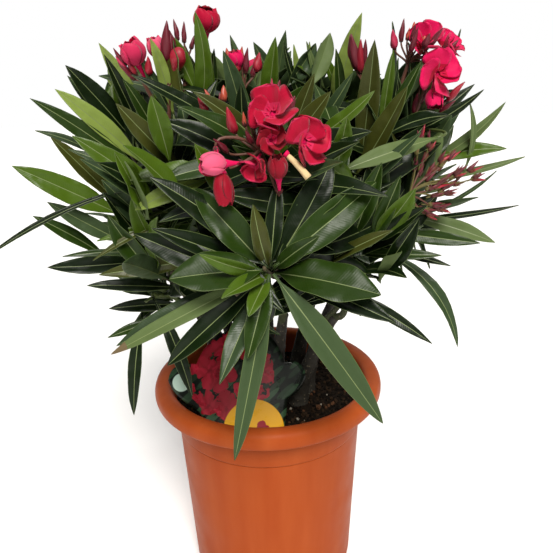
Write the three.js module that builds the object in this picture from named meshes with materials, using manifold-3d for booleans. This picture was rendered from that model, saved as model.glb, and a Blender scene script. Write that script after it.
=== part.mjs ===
// Potted oleander: a bushy shrub of several stems in a rolled-rim plastic pot, with a picture tag.
// Millimetres, +Z up, front towards -Y. The origin is the middle of the pot's flat underside.

import * as THREE from 'three';
import { mergeVertices } from 'three/addons/utils/BufferGeometryUtils.js';
import ManifoldModule from 'manifold-3d';

// ---- Driving sizes -------------------------------------------------------------------------

const POT_HEIGHT = 212;
const RIM_RADIUS = 110;          // outermost part of the rolled rim
const CREST_RADIUS = 101;        // top of the roll
const MOUTH_RADIUS = 93;         // where the roll turns down inside
const ROLL_DROP = 16;            // height of the roll
const BAND_DROP = 45;            // lower edge of the thicker band under the roll
const BAND_RADIUS = 91;
const BAND_STEP = 1.4;
const FOOT_RADIUS = 82;          // body radius where the foot starts to round in
const FOOT_ROUND = 10;
const WALL = 2;
const FLOOR = 4;
const POT_SIDES = 36;

const SOIL_LEVEL = 190;          // flat ground level, a finger below the crest
const GAP = 0.35;                // left between pieces that touch

const TAG_LEAN = 28;             // degrees back from upright
const TAG_FOOT_Y = -72;          // where the tag leaves the soil
const TAG_THICKNESS = 1.2;

const STEM_RADIUS = 6.2;         // above the flare
const STEM_TOP_RADIUS = 4.6;     // at the fork
const FLARE = 1.45;              // stem foot over stem radius
const FLARE_FADE = 9;            // how fast the flare dies away up the stem
const STEM_LEAN = 0.55;          // share of its outward run that a stem has made two thirds up
const STEM_SIDES = 8;
const BOUGH_RADIUS = 3.9;
const BOUGH_TIP_RADIUS = 2.4;
const BOUGH_SIDES = 5;
const BOUGH_START = 0.93;        // how far up its stem a bough leaves
const BOUGH_SWING = 0.4;         // how long it follows the stem's direction, as a share of its span

const UPRIGHT = new THREE.Vector3(0, 0, 1);
const HUB = new THREE.Vector3(0, 0, 235);   // the shoots fan out from about here
const UNEVENNESS = 0.07;
const TUFT_REACH = 0.28;         // how much further a tuft of leaves stands out
const TUFT_SHARE = 0.9;          // the higher, the fewer tufts
const MASS_DETAIL = 3;
const CLEARANCE = 1.2;           // grown on to whatever a mass is cut clear of

// Each stem: compass turn from +X, distance of its foot from the pot's middle,
// distance and height of its fork.
const STEMS = {
  front:       { turn: 292, foot: 18, out: 42, up: 288 },
  front_right: { turn: 325, foot: 36, out: 74, up: 286 },
  right:       { turn: 2,   foot: 38, out: 72, up: 300 },
  back_right:  { turn: 44,  foot: 40, out: 76, up: 284 },
  back:        { turn: 88,  foot: 40, out: 68, up: 292 },
  back_left:   { turn: 136, foot: 38, out: 76, up: 282 },
  left:        { turn: 172, foot: 42, out: 76, up: 300 },
  front_left:  { turn: 203, foot: 28, out: 62, up: 286 },
  middle:      { turn: 100, foot: 14, out: 10, up: 330 },
};

// Each mass of leaves: the stem that carries it, where its middle is (turn, out, up), its half
// length along the shoot and half breadth across it, and its furthest leaf tips (turn, out, up).
// A mass with no stem is long leaves that hang from the mass above it, so it has no bough.
const MASSES = {
  front_rosette: { stem: 'front', turn: 270, out: 146, up: 364, length: 40, breadth: 60,
    tips: [[236, 184, 318], [298, 184, 332], [306, 150, 392], [244, 164, 398]] },
  front_drooping_right: { turn: 285, out: 168, up: 304, length: 16, breadth: 17,
    tips: [[295, 184, 254], [276, 156, 344]] },
  front_drooping_middle: { turn: 268, out: 168, up: 290, length: 16, breadth: 17,
    tips: [[262, 182, 240], [271, 156, 334]] },
  middle_front: { stem: 'front', turn: 266, out: 96, up: 438, length: 60, breadth: 56,
    tips: [[262, 150, 470], [284, 110, 500]] },
  front_right_low: { stem: 'front_right', turn: 322, out: 122, up: 352, length: 66, breadth: 50,
    tips: [[340, 176, 264], [346, 200, 349]] },
  front_right: { stem: 'front_right', turn: 306, out: 108, up: 424, length: 66, breadth: 54,
    tips: [[320, 150, 436], [318, 110, 494]] },
  right: { stem: 'right', turn: 356, out: 146, up: 396, length: 66, breadth: 48,
    tips: [[0, 230, 412], [350, 222, 392], [2, 208, 452], [346, 196, 356]] },
  right_top: { stem: 'right', turn: 2, out: 112, up: 460, length: 64, breadth: 48,
    tips: [[358, 146, 520], [4, 188, 476], [12, 120, 528]] },
  back_right_low: { stem: 'back_right', turn: 38, out: 144, up: 352, length: 68, breadth: 54,
    tips: [[30, 224, 356], [42, 200, 306]] },
  back_right: { stem: 'back_right', turn: 50, out: 120, up: 432, length: 68, breadth: 58,
    tips: [[44, 206, 446], [56, 150, 508]] },
  back: { stem: 'back', turn: 92, out: 140, up: 378, length: 72, breadth: 58,
    tips: [[88, 226, 390], [98, 206, 334], [80, 206, 350]] },
  back_top: { stem: 'back', turn: 84, out: 84, up: 456, length: 62, breadth: 54,
    tips: [[92, 156, 496], [70, 80, 526]] },
  back_left_low: { stem: 'back_left', turn: 143, out: 144, up: 350, length: 68, breadth: 54,
    tips: [[150, 224, 352], [136, 200, 308]] },
  back_left: { stem: 'back_left', turn: 130, out: 120, up: 430, length: 68, breadth: 58,
    tips: [[136, 206, 448], [124, 150, 506]] },
  left: { stem: 'left', turn: 188, out: 130, up: 388, length: 66, breadth: 48,
    tips: [[193, 221, 359], [192, 197, 423], [178, 218, 392], [200, 190, 388]] },
  left_top: { stem: 'left', turn: 180, out: 104, up: 450, length: 62, breadth: 50,
    tips: [[184, 188, 474], [188, 140, 512], [176, 96, 522]] },
  left_drooping: { stem: 'front_left', turn: 202, out: 114, up: 310, length: 34, breadth: 36,
    tips: [[204, 134, 204], [206, 142, 316]] },
  front_left_low: { stem: 'front_left', turn: 224, out: 126, up: 356, length: 60, breadth: 48,
    tips: [[210, 180, 355], [216, 150, 312]] },
  front_left: { stem: 'front_left', turn: 236, out: 108, up: 428, length: 62, breadth: 54,
    tips: [[226, 170, 440], [222, 140, 482]] },
  top_left: { stem: 'middle', turn: 196, out: 44, up: 466, length: 56, breadth: 48,
    tips: [[200, 42, 542], [220, 64, 526]] },
  top_right: { stem: 'middle', turn: 10, out: 50, up: 464, length: 54, breadth: 48,
    tips: [[0, 88, 532], [330, 60, 512], [80, 26, 524]] },
};

// ---- Materials -----------------------------------------------------------------------------

const finish = (color, roughness) => new THREE.MeshStandardMaterial({ color, roughness, metalness: 0 });
const POT_PLASTIC = finish(0xc4592c, 0.5);
const SOIL = finish(0x33231a, 0.95);
const CARD = finish(0x2b4a2c, 0.35);
const BARK = finish(0x3d3a2b, 0.8);
const YOUNG_BARK = finish(0x4a5230, 0.7);
const LEAF = finish(0x3b5a2a, 0.5);

// ---- Helpers -------------------------------------------------------------------------------

const wasm = await ManifoldModule();
wasm.setup();

const radians = THREE.MathUtils.degToRad;

function place(turn, out, up) {
  return new THREE.Vector3(out * Math.cos(radians(turn)), out * Math.sin(radians(turn)), up);
}

function toSolid(geometry) {
  const bare = geometry.clone();
  bare.deleteAttribute('normal');
  bare.deleteAttribute('uv');
  const merged = mergeVertices(bare, 1e-4);
  const vertProperties = new Float32Array(merged.attributes.position.array);
  const triVerts = new Uint32Array(merged.index.array);
  return new wasm.Manifold(new wasm.Mesh({ numProp: 3, vertProperties, triVerts }));
}

function toGeometry(solid) {
  const { vertProperties, triVerts } = solid.getMesh();
  const geometry = new THREE.BufferGeometry();
  geometry.setAttribute('position', new THREE.BufferAttribute(new Float32Array(vertProperties), 3));
  geometry.setIndex(new THREE.BufferAttribute(new Uint32Array(triVerts), 1));
  geometry.computeVertexNormals();
  return geometry;
}

// The largest piece that is left when the cutters are taken away.
function cutClear(solid, cutters) {
  const left = cutters.reduce((body, cutter) => body.subtract(cutter), solid);
  const pieces = left.decompose();
  return pieces.reduce((best, piece) => (piece.volume() > best.volume() ? piece : best));
}

function addMesh(group, name, geometry, material) {
  const mesh = new THREE.Mesh(geometry, material);
  mesh.name = name;
  group.add(mesh);
}

// ---- Pot, soil and tag ---------------------------------------------------------------------

function bodyRadius(z) {
  const top = BAND_RADIUS - BAND_STEP;
  const share = (z - FOOT_ROUND) / (POT_HEIGHT - BAND_DROP - FOOT_ROUND);
  return FOOT_RADIUS + share * (top - FOOT_RADIUS);
}

function potGeometry() {
  const H = POT_HEIGHT;
  const band = H - BAND_DROP;
  const neck = BAND_RADIUS + 2.5;
  const outline = new THREE.Path();
  outline.moveTo(0, 0);
  outline.lineTo(FOOT_RADIUS - FOOT_ROUND, 0);
  outline.quadraticCurveTo(FOOT_RADIUS, 0, FOOT_RADIUS, FOOT_ROUND);
  outline.lineTo(BAND_RADIUS - BAND_STEP, band - BAND_STEP);
  outline.lineTo(BAND_RADIUS, band);
  outline.lineTo(neck, H - ROLL_DROP - 1);
  outline.lineTo(RIM_RADIUS - 3, H - ROLL_DROP);
  outline.quadraticCurveTo(RIM_RADIUS + 1, H - ROLL_DROP, RIM_RADIUS, H - ROLL_DROP / 2);
  outline.quadraticCurveTo(RIM_RADIUS - 1, H, CREST_RADIUS, H);
  outline.quadraticCurveTo(MOUTH_RADIUS, H, MOUTH_RADIUS - 0.5, H - 9);
  outline.lineTo(bodyRadius(band) - WALL, band);
  outline.lineTo(bodyRadius(FOOT_ROUND) - WALL, FOOT_ROUND);
  outline.quadraticCurveTo(FOOT_RADIUS - WALL, FLOOR, FOOT_RADIUS - FOOT_ROUND, FLOOR);
  outline.lineTo(0, FLOOR);
  const lathe = new THREE.LatheGeometry(outline.getPoints(2), POT_SIDES);
  return lathe.rotateX(Math.PI / 2);
}

function soilGeometry() {
  const band = POT_HEIGHT - BAND_DROP;
  const inner = (z) => bodyRadius(z) - WALL - GAP;
  const wallSlope = (MOUTH_RADIUS - 0.5 - bodyRadius(band) + WALL) / (BAND_DROP - 9);
  const outline = [
    [0, FLOOR + GAP],
    [FOOT_RADIUS - FOOT_ROUND - 2, FLOOR + GAP],
    [inner(FOOT_ROUND) - 1, FOOT_ROUND],
    [inner(band), band],
    [inner(band) + wallSlope * (SOIL_LEVEL - band), SOIL_LEVEL],
    [0, SOIL_LEVEL],
  ].map(([r, z]) => new THREE.Vector2(r, z));
  return new THREE.LatheGeometry(outline, POT_SIDES).rotateX(Math.PI / 2);
}

// The tag's outline in its own plane: across from the pot's middle, and up its slope from the soil.
function tagOutline() {
  const outline = new THREE.Shape();
  outline.moveTo(12, 1);
  outline.lineTo(17, 28);
  outline.quadraticCurveTo(35, 38, 34, 50);
  outline.quadraticCurveTo(31, 64, 15, 61);
  outline.quadraticCurveTo(8, 92, -20, 93);
  outline.quadraticCurveTo(-52, 92, -64, 62);
  outline.quadraticCurveTo(-88, 66, -90, 48);
  outline.quadraticCurveTo(-86, 34, -62, 20);
  outline.lineTo(-50, 1);
  outline.closePath();
  return outline;
}

function tagGeometry() {
  const card = new THREE.ExtrudeGeometry(tagOutline(), {
    depth: TAG_THICKNESS, bevelEnabled: false, curveSegments: 4,
  });
  card.rotateX(radians(90 - TAG_LEAN));
  return card.translate(0, TAG_FOOT_Y, SOIL_LEVEL + GAP);
}

// ---- Stems and boughs ----------------------------------------------------------------------

// The direction square to a rising limb that lies nearest to +X, so that its rings don't twist.
function sideways(tangent) {
  return new THREE.Vector3(1, 0, 0).addScaledVector(tangent, -tangent.x).normalize();
}

// A tapering limb of round section along a curve, closed at both ends. A level foot is cut flat.
function limb(curve, radiusAt, sides, steps, grow = 0, levelFoot = false) {
  const corners = [];
  const faces = [];
  const frames = curve.computeFrenetFrames(steps, false);
  for (let i = 0; i <= steps; i += 1) {
    const t = i / steps;
    const centre = curve.getPointAt(t);
    const radius = radiusAt(t) + grow;
    const tangent = levelFoot && i === 0 ? UPRIGHT : frames.tangents[i];
    const across = levelFoot ? sideways(tangent) : frames.normals[i];
    const up = tangent.clone().cross(across);
    for (let s = 0; s < sides; s += 1) {
      const a = (2 * Math.PI * s) / sides;
      const corner = centre.clone();
      corner.addScaledVector(across, radius * Math.cos(a));
      corner.addScaledVector(up, radius * Math.sin(a));
      corners.push(corner);
    }
  }
  for (let i = 0; i < steps; i += 1) {
    for (let s = 0; s < sides; s += 1) {
      const a = i * sides + s;
      const b = i * sides + ((s + 1) % sides);
      faces.push(a, b, b + sides, a, b + sides, a + sides);
    }
  }
  const last = steps * sides;
  for (let s = 1; s < sides - 1; s += 1) {
    faces.push(0, s + 1, s);
    faces.push(last, last + s, last + s + 1);
  }
  const geometry = new THREE.BufferGeometry().setFromPoints(corners);
  geometry.setIndex(faces);
  return geometry;
}

function stemCurve({ turn, foot, out, up }) {
  const base = place(turn, foot, SOIL_LEVEL + GAP);
  const rise = (up - SOIL_LEVEL) / 3;
  const low = place(turn, foot + 2, SOIL_LEVEL + rise);
  const high = place(turn, foot + (out - foot) * STEM_LEAN, SOIL_LEVEL + 2 * rise);
  return new THREE.CubicBezierCurve3(base, low, high, place(turn, out, up));
}

function stemSolid(stem, grow = 0) {
  const flare = (t) => 1 + (FLARE - 1) * Math.exp(-t * FLARE_FADE);
  const radiusAt = (t) => THREE.MathUtils.lerp(STEM_RADIUS, STEM_TOP_RADIUS, t) * flare(t);
  return toSolid(limb(stemCurve(stem), radiusAt, STEM_SIDES, 5, grow, grow === 0));
}

// A bough carries on from its stem's fork and swings over to the middle of its mass.
function boughSolid(mass, grow = 0) {
  const stem = stemCurve(STEMS[mass.stem]);
  const start = stem.getPointAt(BOUGH_START);
  const end = place(mass.turn, mass.out, mass.up);
  const bend = start.clone().addScaledVector(stem.getTangentAt(1), start.distanceTo(end) * BOUGH_SWING);
  const curve = new THREE.QuadraticBezierCurve3(start, bend, end);
  const radiusAt = (t) => THREE.MathUtils.lerp(BOUGH_RADIUS, BOUGH_TIP_RADIUS, t);
  return toSolid(limb(curve, radiusAt, BOUGH_SIDES, 4, grow));
}

// ---- Masses of leaves ----------------------------------------------------------------------

// A closed uneven solid, long along its shoot, with a corner drawn out to each furthest leaf tip.
function massSolid(mass, index, grow = 0) {
  const centre = place(mass.turn, mass.out, mass.up);
  const along = centre.clone().sub(HUB).normalize();
  const ball = new THREE.OctahedronGeometry(1, MASS_DETAIL);
  ball.deleteAttribute('normal');
  ball.deleteAttribute('uv');
  const shape = mergeVertices(ball, 1e-4);
  const corners = shape.attributes.position;
  const directions = [];
  for (let i = 0; i < corners.count; i += 1) {
    directions.push(new THREE.Vector3().fromBufferAttribute(corners, i).normalize());
  }
  directions.forEach((direction, i) => {
    const cosine = direction.dot(along);
    const round = Math.sqrt((cosine / mass.length) ** 2 + (1 - cosine ** 2) / mass.breadth ** 2);
    const wave = Math.sin(index * 2.3 + i * 1.7) + Math.sin(index + i * 2.9);
    const tuft = wave > TUFT_SHARE ? TUFT_REACH : 0;
    const reach = (1 / round) * (1 + UNEVENNESS * wave + tuft) + grow;
    const corner = centre.clone().addScaledVector(direction, reach);
    corners.setXYZ(i, corner.x, corner.y, corner.z);
  });
  for (const [turn, out, up] of mass.tips) {
    const tip = place(turn, out, up).sub(centre);
    const toTip = tip.clone().normalize();
    const angles = directions.map((direction) => direction.angleTo(toTip));
    const nearest = angles.indexOf(Math.min(...angles));
    const corner = centre.clone().addScaledVector(toTip, tip.length() + grow);
    corners.setXYZ(nearest, corner.x, corner.y, corner.z);
  }
  return toSolid(shape);
}

// ---- Assembly ------------------------------------------------------------------------------

const plant = new THREE.Group();
addMesh(plant, 'pot', potGeometry(), POT_PLASTIC);
addMesh(plant, 'soil', soilGeometry(), SOIL);
addMesh(plant, 'picture_tag', tagGeometry(), CARD);

const grownStems = Object.values(STEMS).map((stem) => stemSolid(stem, CLEARANCE));
for (const [name, stem] of Object.entries(STEMS)) {
  addMesh(plant, `stem_${name}`, toGeometry(stemSolid(stem)), BARK);
}

const names = Object.keys(MASSES);
const bearers = names.filter((name) => MASSES[name].stem);
const grownMasses = names.map((name, i) => massSolid(MASSES[name], i, CLEARANCE));
const grownBoughs = new Map(bearers.map((name) => [name, boughSolid(MASSES[name], CLEARANCE)]));

names.forEach((name, i) => {
  const others = bearers.filter((other) => other !== name).map((other) => grownBoughs.get(other));
  const cutters = [...grownMasses.slice(0, i), ...grownStems, ...others];
  addMesh(plant, `mass_${name}`, toGeometry(cutClear(massSolid(MASSES[name], i), cutters)), LEAF);
});

bearers.forEach((name, i) => {
  const { stem } = MASSES[name];
  const forkmates = bearers.slice(0, i).filter((other) => MASSES[other].stem === stem);
  const ownMass = grownMasses[names.indexOf(name)];
  const cutters = [ownMass, ...grownStems, ...forkmates.map((other) => grownBoughs.get(other))];
  addMesh(plant, `bough_${name}`, toGeometry(cutClear(boughSolid(MASSES[name]), cutters)), YOUNG_BARK);
});

export default plant;
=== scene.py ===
"""Potted oleander: its pot, soil, tag, bark, leaves and flowers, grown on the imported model's limbs."""

import functools
import math
import typing

import bpy
import numpy as np
from mathutils import Matrix, Vector


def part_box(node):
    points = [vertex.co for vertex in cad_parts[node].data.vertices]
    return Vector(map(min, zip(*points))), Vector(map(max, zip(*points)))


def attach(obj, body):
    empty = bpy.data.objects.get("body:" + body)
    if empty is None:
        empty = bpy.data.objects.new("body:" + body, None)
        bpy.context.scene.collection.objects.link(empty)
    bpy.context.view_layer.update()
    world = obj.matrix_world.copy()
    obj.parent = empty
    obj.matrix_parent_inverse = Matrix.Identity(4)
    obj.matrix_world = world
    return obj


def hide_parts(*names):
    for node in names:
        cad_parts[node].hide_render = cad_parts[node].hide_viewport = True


bl_info = {
    "name": "Potted oleander",
    "version": (1, 0, 0),
    "blender": (4, 5, 0),
    "location": "View3D > Sidebar > Oleander",
    "description": "Grows the leaves, twigs and flowers of a potted oleander on its stems",
    "category": "Object",
}

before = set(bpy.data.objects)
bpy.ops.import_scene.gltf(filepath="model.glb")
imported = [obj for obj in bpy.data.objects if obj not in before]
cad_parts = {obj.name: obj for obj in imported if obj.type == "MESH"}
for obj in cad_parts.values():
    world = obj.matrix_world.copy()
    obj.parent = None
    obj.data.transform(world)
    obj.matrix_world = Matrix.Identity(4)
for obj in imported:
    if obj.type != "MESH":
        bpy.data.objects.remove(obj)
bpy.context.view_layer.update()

MM = 0.001
ROOT = "root"
UP = np.array((0.0, 0.0, 1.0))
FRONT = np.array((0.0, -1.0, 0.0))
# Seeds of the random draws; those of stems, boughs and trusses count up from these.
CRUMB_SEED, ROSETTE_SEED, SPENT_SEED = 5, 31, 77
STEM_SEED, BOUGH_SEED, TRUSS_SEED = 100, 200, 700
BAKE_MAP = "OFBake"
SHAPE_MAP = "ShapeMap"  # millimetres along and across a blade or card


# ---- Colours and materials ----


def linear(hex_colour):
    """An sRGB hex colour as the linear red, green and blue that shaders use."""
    channels = [int(hex_colour[i : i + 2], 16) / 255 for i in (1, 3, 5)]
    return tuple(c / 12.92 if c <= 0.04045 else ((c + 0.055) / 1.055) ** 2.4 for c in channels)


def feed(node, inputs):
    """Sets a node's inputs: values, or the sockets and nodes that they come from. A node stands for the
    first of its outputs in use."""
    for name, value in inputs.items():
        if isinstance(value, bpy.types.Node):
            value = next(output for output in value.outputs if output.enabled)
        if isinstance(value, bpy.types.NodeSocket):
            node.id_data.links.new(value, node.inputs[name])
        else:
            node.inputs[name].default_value = value


def add_node(tree, kind, inputs=None, **settings):
    """Adds a shader node with its own settings and its inputs."""
    node = tree.nodes.new("ShaderNode" + kind)
    for name, value in settings.items():
        setattr(node, name, value)
    feed(node, inputs or {})
    return node


def start_material(name, colour, roughness, ior=1.5, more=None):
    """A new material, add_node for its tree, and its one shader. more holds the shader's other values."""
    material = bpy.data.materials.new(name)
    material.use_nodes = True
    tree = material.node_tree
    shader = tree.nodes["Principled BSDF"]
    feed(shader, {"Base Color": (*colour, 1), "Roughness": roughness, "IOR": ior, **(more or {})})
    return material, functools.partial(add_node, tree), shader


def uneven_gloss(add, shader, spot, patch, smooth, rough):
    """Roughness that drifts between two values in patches of this size."""
    cloud = add("TexNoise", {"Vector": spot, "Scale": 1 / patch, "Detail": 3.0})
    drift = {0: cloud, "From Min": 0.35, "From Max": 0.65, "To Min": smooth, "To Max": rough}
    feed(shader, {"Roughness": add("MapRange", drift)})


def raise_bump(add, shader, height, depth, strength):
    """Fine relief on the shader's normal, of this real depth."""
    bump = add("Bump", {"Height": height, "Distance": depth, "Strength": strength})
    feed(shader, {"Normal": bump})


def waxed_leaf(name, colour, smooth, rough, vein_gap):
    """A living leaf blade under a wax skin: the wax gives a broad soft sheen, with faint side veins.

    The real veins are about 1 mm apart; they are drawn a little wider so that they show.
    """
    material, add, shader = start_material(name, colour, rough, 1.42, {"Specular IOR Level": 0.3})
    spot = add("TexCoord").outputs["Object"]
    uneven_gloss(add, shader, spot, 14 * MM, smooth, rough)
    parts = add("SeparateXYZ", {0: add("UVMap", uv_map=SHAPE_MAP)})
    across = add("Math", {0: parts.outputs[1]}, operation="ABSOLUTE")
    slant = add("Math", {0: across, 1: -0.55}, operation="MULTIPLY")
    along = add("Math", {0: parts, 1: slant}, operation="ADD")
    turns = add("Math", {0: along, 1: 2 * math.pi / vein_gap}, operation="MULTIPLY")
    ridge = add("Math", {0: turns}, operation="SINE")
    pores = add("TexNoise", {"Vector": spot, "Scale": 1 / (3 * MM), "Detail": 2.0})
    fine = add("Math", {0: ridge, 1: 0.2, 2: pores}, operation="MULTIPLY_ADD")
    swell = add("TexNoise", {"Vector": spot, "Scale": 1 / (12 * MM), "Detail": 1.0})
    relief = add("Math", {0: swell, 1: 20.0, 2: fine}, operation="MULTIPLY_ADD")
    raise_bump(add, shader, relief, 0.12 * MM, 0.6)
    return material


def satin_petal(name, colour, roughness):
    """A thin fleshy petal: matt and glowing, with faint creases that run out from the throat."""
    soft = {"Specular IOR Level": 0.22, "Sheen Weight": 0.1, "Sheen Roughness": 0.5}
    material, add, shader = start_material(name, colour, roughness, 1.4, soft)
    spot = add("TexCoord").outputs["Object"]
    uneven_gloss(add, shader, spot, 6 * MM, roughness - 0.1, roughness + 0.1)
    blade = add("UVMap", uv_map=SHAPE_MAP)
    creases = add("Mapping", {"Vector": blade, "Scale": (9.0, 1.1, 1.0)}, vector_type="TEXTURE")
    streaks = add("TexNoise", {"Vector": creases, "Scale": 1.0}, noise_dimensions="2D")
    raise_bump(add, shader, streaks, 0.3 * MM, 0.5)
    return material


def green_stalk(name, colour, roughness):
    """A soft green shoot or flower stalk: a smooth skin with a little waxy bloom in patches."""
    material, add, shader = start_material(name, colour, roughness)
    spot = add("TexCoord").outputs["Object"]
    uneven_gloss(add, shader, spot, 8 * MM, roughness - 0.12, roughness + 0.1)
    grain = add("TexNoise", {"Vector": spot, "Scale": 1 / (1.5 * MM), "Detail": 2.0})
    raise_bump(add, shader, grain, 0.1 * MM, 0.4)
    return material


def bark(name, dark, pale, lenticel):
    """Oleander bark: grey-brown, finely streaked along the stem, with pale corky lenticels."""
    material, add, shader = start_material(name, dark, 0.8)
    spot = add("TexCoord").outputs["Object"]
    grain = add("Mapping", {"Vector": spot, "Scale": (1.0, 1.0, 5.0)}, vector_type="TEXTURE")
    streaks = add("TexNoise", {"Vector": grain, "Scale": 1 / (1.6 * MM), "Detail": 5.0})
    pits = add("TexVoronoi", {"Vector": spot, "Scale": 1 / (3.4 * MM), "Randomness": 1.0})
    edge = {0: pits, "From Min": 0.14, "From Max": 0.24, "To Min": 1.0, "To Max": 0.0}
    corky = add("MapRange", edge, interpolation_type="SMOOTHSTEP")
    skin = add("Mix", {0: streaks, 6: (*dark, 1), 7: (*pale, 1)}, data_type="RGBA")
    spotted = add("Mix", {0: corky, 6: skin, 7: (*lenticel, 1)}, data_type="RGBA")
    feed(shader, {"Base Color": spotted})
    uneven_gloss(add, shader, spot, 5 * MM, 0.62, 0.9)
    relief = add("Math", {0: corky, 1: 0.6, 2: streaks}, operation="MULTIPLY_ADD")
    raise_bump(add, shader, relief, 0.5 * MM, 0.8)
    return material


def moulded_plastic(name, colour, pale):
    """Injection-moulded polypropylene: satin, slightly mottled, with faint paler streaks up the wall."""
    material, add, shader = start_material(name, colour, 0.42, 1.49, {"Specular IOR Level": 0.08})
    spot = add("TexCoord").outputs["Object"]
    drawn = add("Mapping", {"Vector": spot, "Scale": (1.0, 1.0, 7.0)}, vector_type="TEXTURE")
    marks = add("TexNoise", {"Vector": drawn, "Scale": 1 / (16 * MM), "Detail": 4.0})
    mottle = add("MapRange", {0: marks, "From Min": 0.3, "From Max": 0.75})
    streaked = add("Mix", {0: mottle, 6: (*colour, 1), 7: (*pale, 1)}, data_type="RGBA")
    feed(shader, {"Base Color": streaked})
    uneven_gloss(add, shader, spot, 30 * MM, 0.4, 0.55)
    pebble = add("TexNoise", {"Vector": spot, "Scale": 1 / (0.8 * MM), "Detail": 2.0})
    raise_bump(add, shader, pebble, 0.06 * MM, 0.35)
    return material


def damp_peat(name, dark, pale):
    """Peat compost: dark, matt and crumbly, paler where it has dried."""
    material, add, shader = start_material(name, dark, 0.95, more={"Specular IOR Level": 0.1})
    spot = add("TexCoord").outputs["Object"]
    crumbs = add("TexNoise", {"Vector": spot, "Scale": 1 / (2.5 * MM), "Detail": 6.0, "Roughness": 0.7})
    dry = add("MapRange", {0: crumbs, "From Min": 0.42, "From Max": 0.72})
    dried = add("Mix", {0: dry, 6: (*dark, 1), 7: (*pale, 1)}, data_type="RGBA")
    feed(shader, {"Base Color": dried})
    uneven_gloss(add, shader, spot, 4 * MM, 0.85, 1.0)
    raise_bump(add, shader, crumbs, 1.2 * MM, 1.0)
    return material


def crumb(name, colour):
    """One kind of grain in the compost, such as peat, bark or a white mineral speck."""
    material, add, shader = start_material(name, colour, 0.92, more={"Specular IOR Level": 0.1})
    spot = add("TexCoord").outputs["Object"]
    uneven_gloss(add, shader, spot, 2 * MM, 0.82, 1.0)
    rough = add("TexNoise", {"Vector": spot, "Scale": 1 / (0.7 * MM), "Detail": 3.0})
    raise_bump(add, shader, rough, 0.3 * MM, 0.8)
    return material


# ---- Closed lofts ----


@functools.lru_cache(maxsize=None)
def loft_faces(rows, columns):
    """Triangles of a closed loft, their places in its bake cell, and each one's row and column.

    Its points are the rings, row by row, and then the first and the last point.
    """
    i, j = (a.ravel() for a in np.meshgrid(range(rows - 1), range(columns), indexing="ij"))
    ring = np.arange(columns)
    after = (j + 1) % columns
    a, b = i * columns + j, i * columns + after
    c, d = b + columns, a + columns
    first, last = rows * columns, rows * columns + 1
    top = (rows - 1) * columns
    turn = (ring + 1) % columns
    corners = np.concatenate(
        [
            np.stack([a, b, c], 1),
            np.stack([a, c, d], 1),
            np.stack([np.full(columns, first), turn, ring], 1),
            np.stack([np.full(columns, last), top + ring, top + turn], 1),
        ]
    )
    wide, high = 1 / columns, 1 / (rows + 1)
    left, right = j * wide, (j + 1) * wide
    low, above = (i + 1) * high, (i + 2) * high
    start, mid, end = ring * wide, (ring + 0.5) * wide, (ring + 1) * wide
    level = np.ones(columns)
    spread = lambda us, vs: np.stack([np.stack(us, 1), np.stack(vs, 1)], 2)
    places = np.concatenate(
        [
            spread([left, right, right], [low, low, above]),
            spread([left, right, left], [low, above, above]),
            spread([mid, end, start], [0 * level, high * level, high * level]),
            spread([mid, start, end], [level, (1 - high) * level, (1 - high) * level]),
        ]
    )
    row = np.concatenate([i, i, 0 * ring, 0 * ring + rows - 2])
    column = np.concatenate([j, j, ring, ring])
    return corners, places, row, column


class Lofts:
    """Gathers closed lofted shapes, each a stack of rings, into the one mesh of a piece."""

    def __init__(self):
        self.points, self.corners, self.places, self.slots, self.shape = [], [], [], [], []
        self.cells = 0
        self.count = 0

    def add(self, rings, slots, first=None, last=None, measures=None):
        """Rings run anticlockwise about the way they are stacked. slots is a material number, or a table
        of them by row and column. measures is each ring point's place along and across, in mm."""
        rows, columns = rings.shape[:2]
        first = rings[0].mean(0) if first is None else first
        last = rings[-1].mean(0) if last is None else last
        corners, places, row, column = loft_faces(rows, columns)
        self.points.append(np.concatenate([rings.reshape(-1, 3), [first, last]]))
        self.corners.append(corners + self.count)
        self.places.append((places, self.cells))
        table = np.broadcast_to(np.asarray(slots), (rows - 1, columns))
        self.slots.append(table[row, column])
        if measures is None:
            measures = np.zeros((rows, columns, 2))
        ends = [measures[0].mean(0), measures[-1].mean(0)]
        self.shape.append(np.concatenate([measures.reshape(-1, 2), ends])[corners])
        self.count += rows * columns + 2
        self.cells += 1

    def make(self, name, materials, slot=None, nodes=(), smooth=True):
        """The piece, with its maps and materials. It rides on the plant and replaces these CAD nodes."""
        corners = np.concatenate(self.corners)
        mesh = bpy.data.meshes.new(name)
        mesh.vertices.add(self.count)
        mesh.vertices.foreach_set("co", np.concatenate(self.points).astype(np.float32).ravel())
        mesh.loops.add(corners.size)
        mesh.loops.foreach_set("vertex_index", corners.astype(np.int32).ravel())
        mesh.polygons.add(len(corners))
        mesh.polygons.foreach_set("loop_start", np.arange(0, corners.size, 3, dtype=np.int32))
        mesh.polygons.foreach_set("material_index", np.concatenate(self.slots).astype(np.int32))
        mesh.polygons.foreach_set("use_smooth", np.full(len(corners), smooth))
        across = math.ceil(math.sqrt(self.cells))
        cell = lambda index: np.array((index % across, index // across))
        inset = 0.04
        placed = [
            (cell(index) + inset + places * (1 - 2 * inset)) / across for places, index in self.places
        ]
        for map_name, parts in ((BAKE_MAP, placed), (SHAPE_MAP, self.shape)):
            layer = mesh.uv_layers.new(name=map_name)
            layer.data.foreach_set("uv", np.concatenate(parts).astype(np.float32).ravel())
        mesh.uv_layers.active = mesh.uv_layers[BAKE_MAP]
        mesh.update(calc_edges=True)
        mesh.validate()
        piece = bpy.data.objects.new(name, mesh)
        for material in materials:
            mesh.materials.append(material)
        bpy.context.scene.collection.objects.link(piece)
        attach(piece, ROOT)
        if nodes:
            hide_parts(*nodes)
        return piece


# ---- Geometry helpers ----


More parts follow.
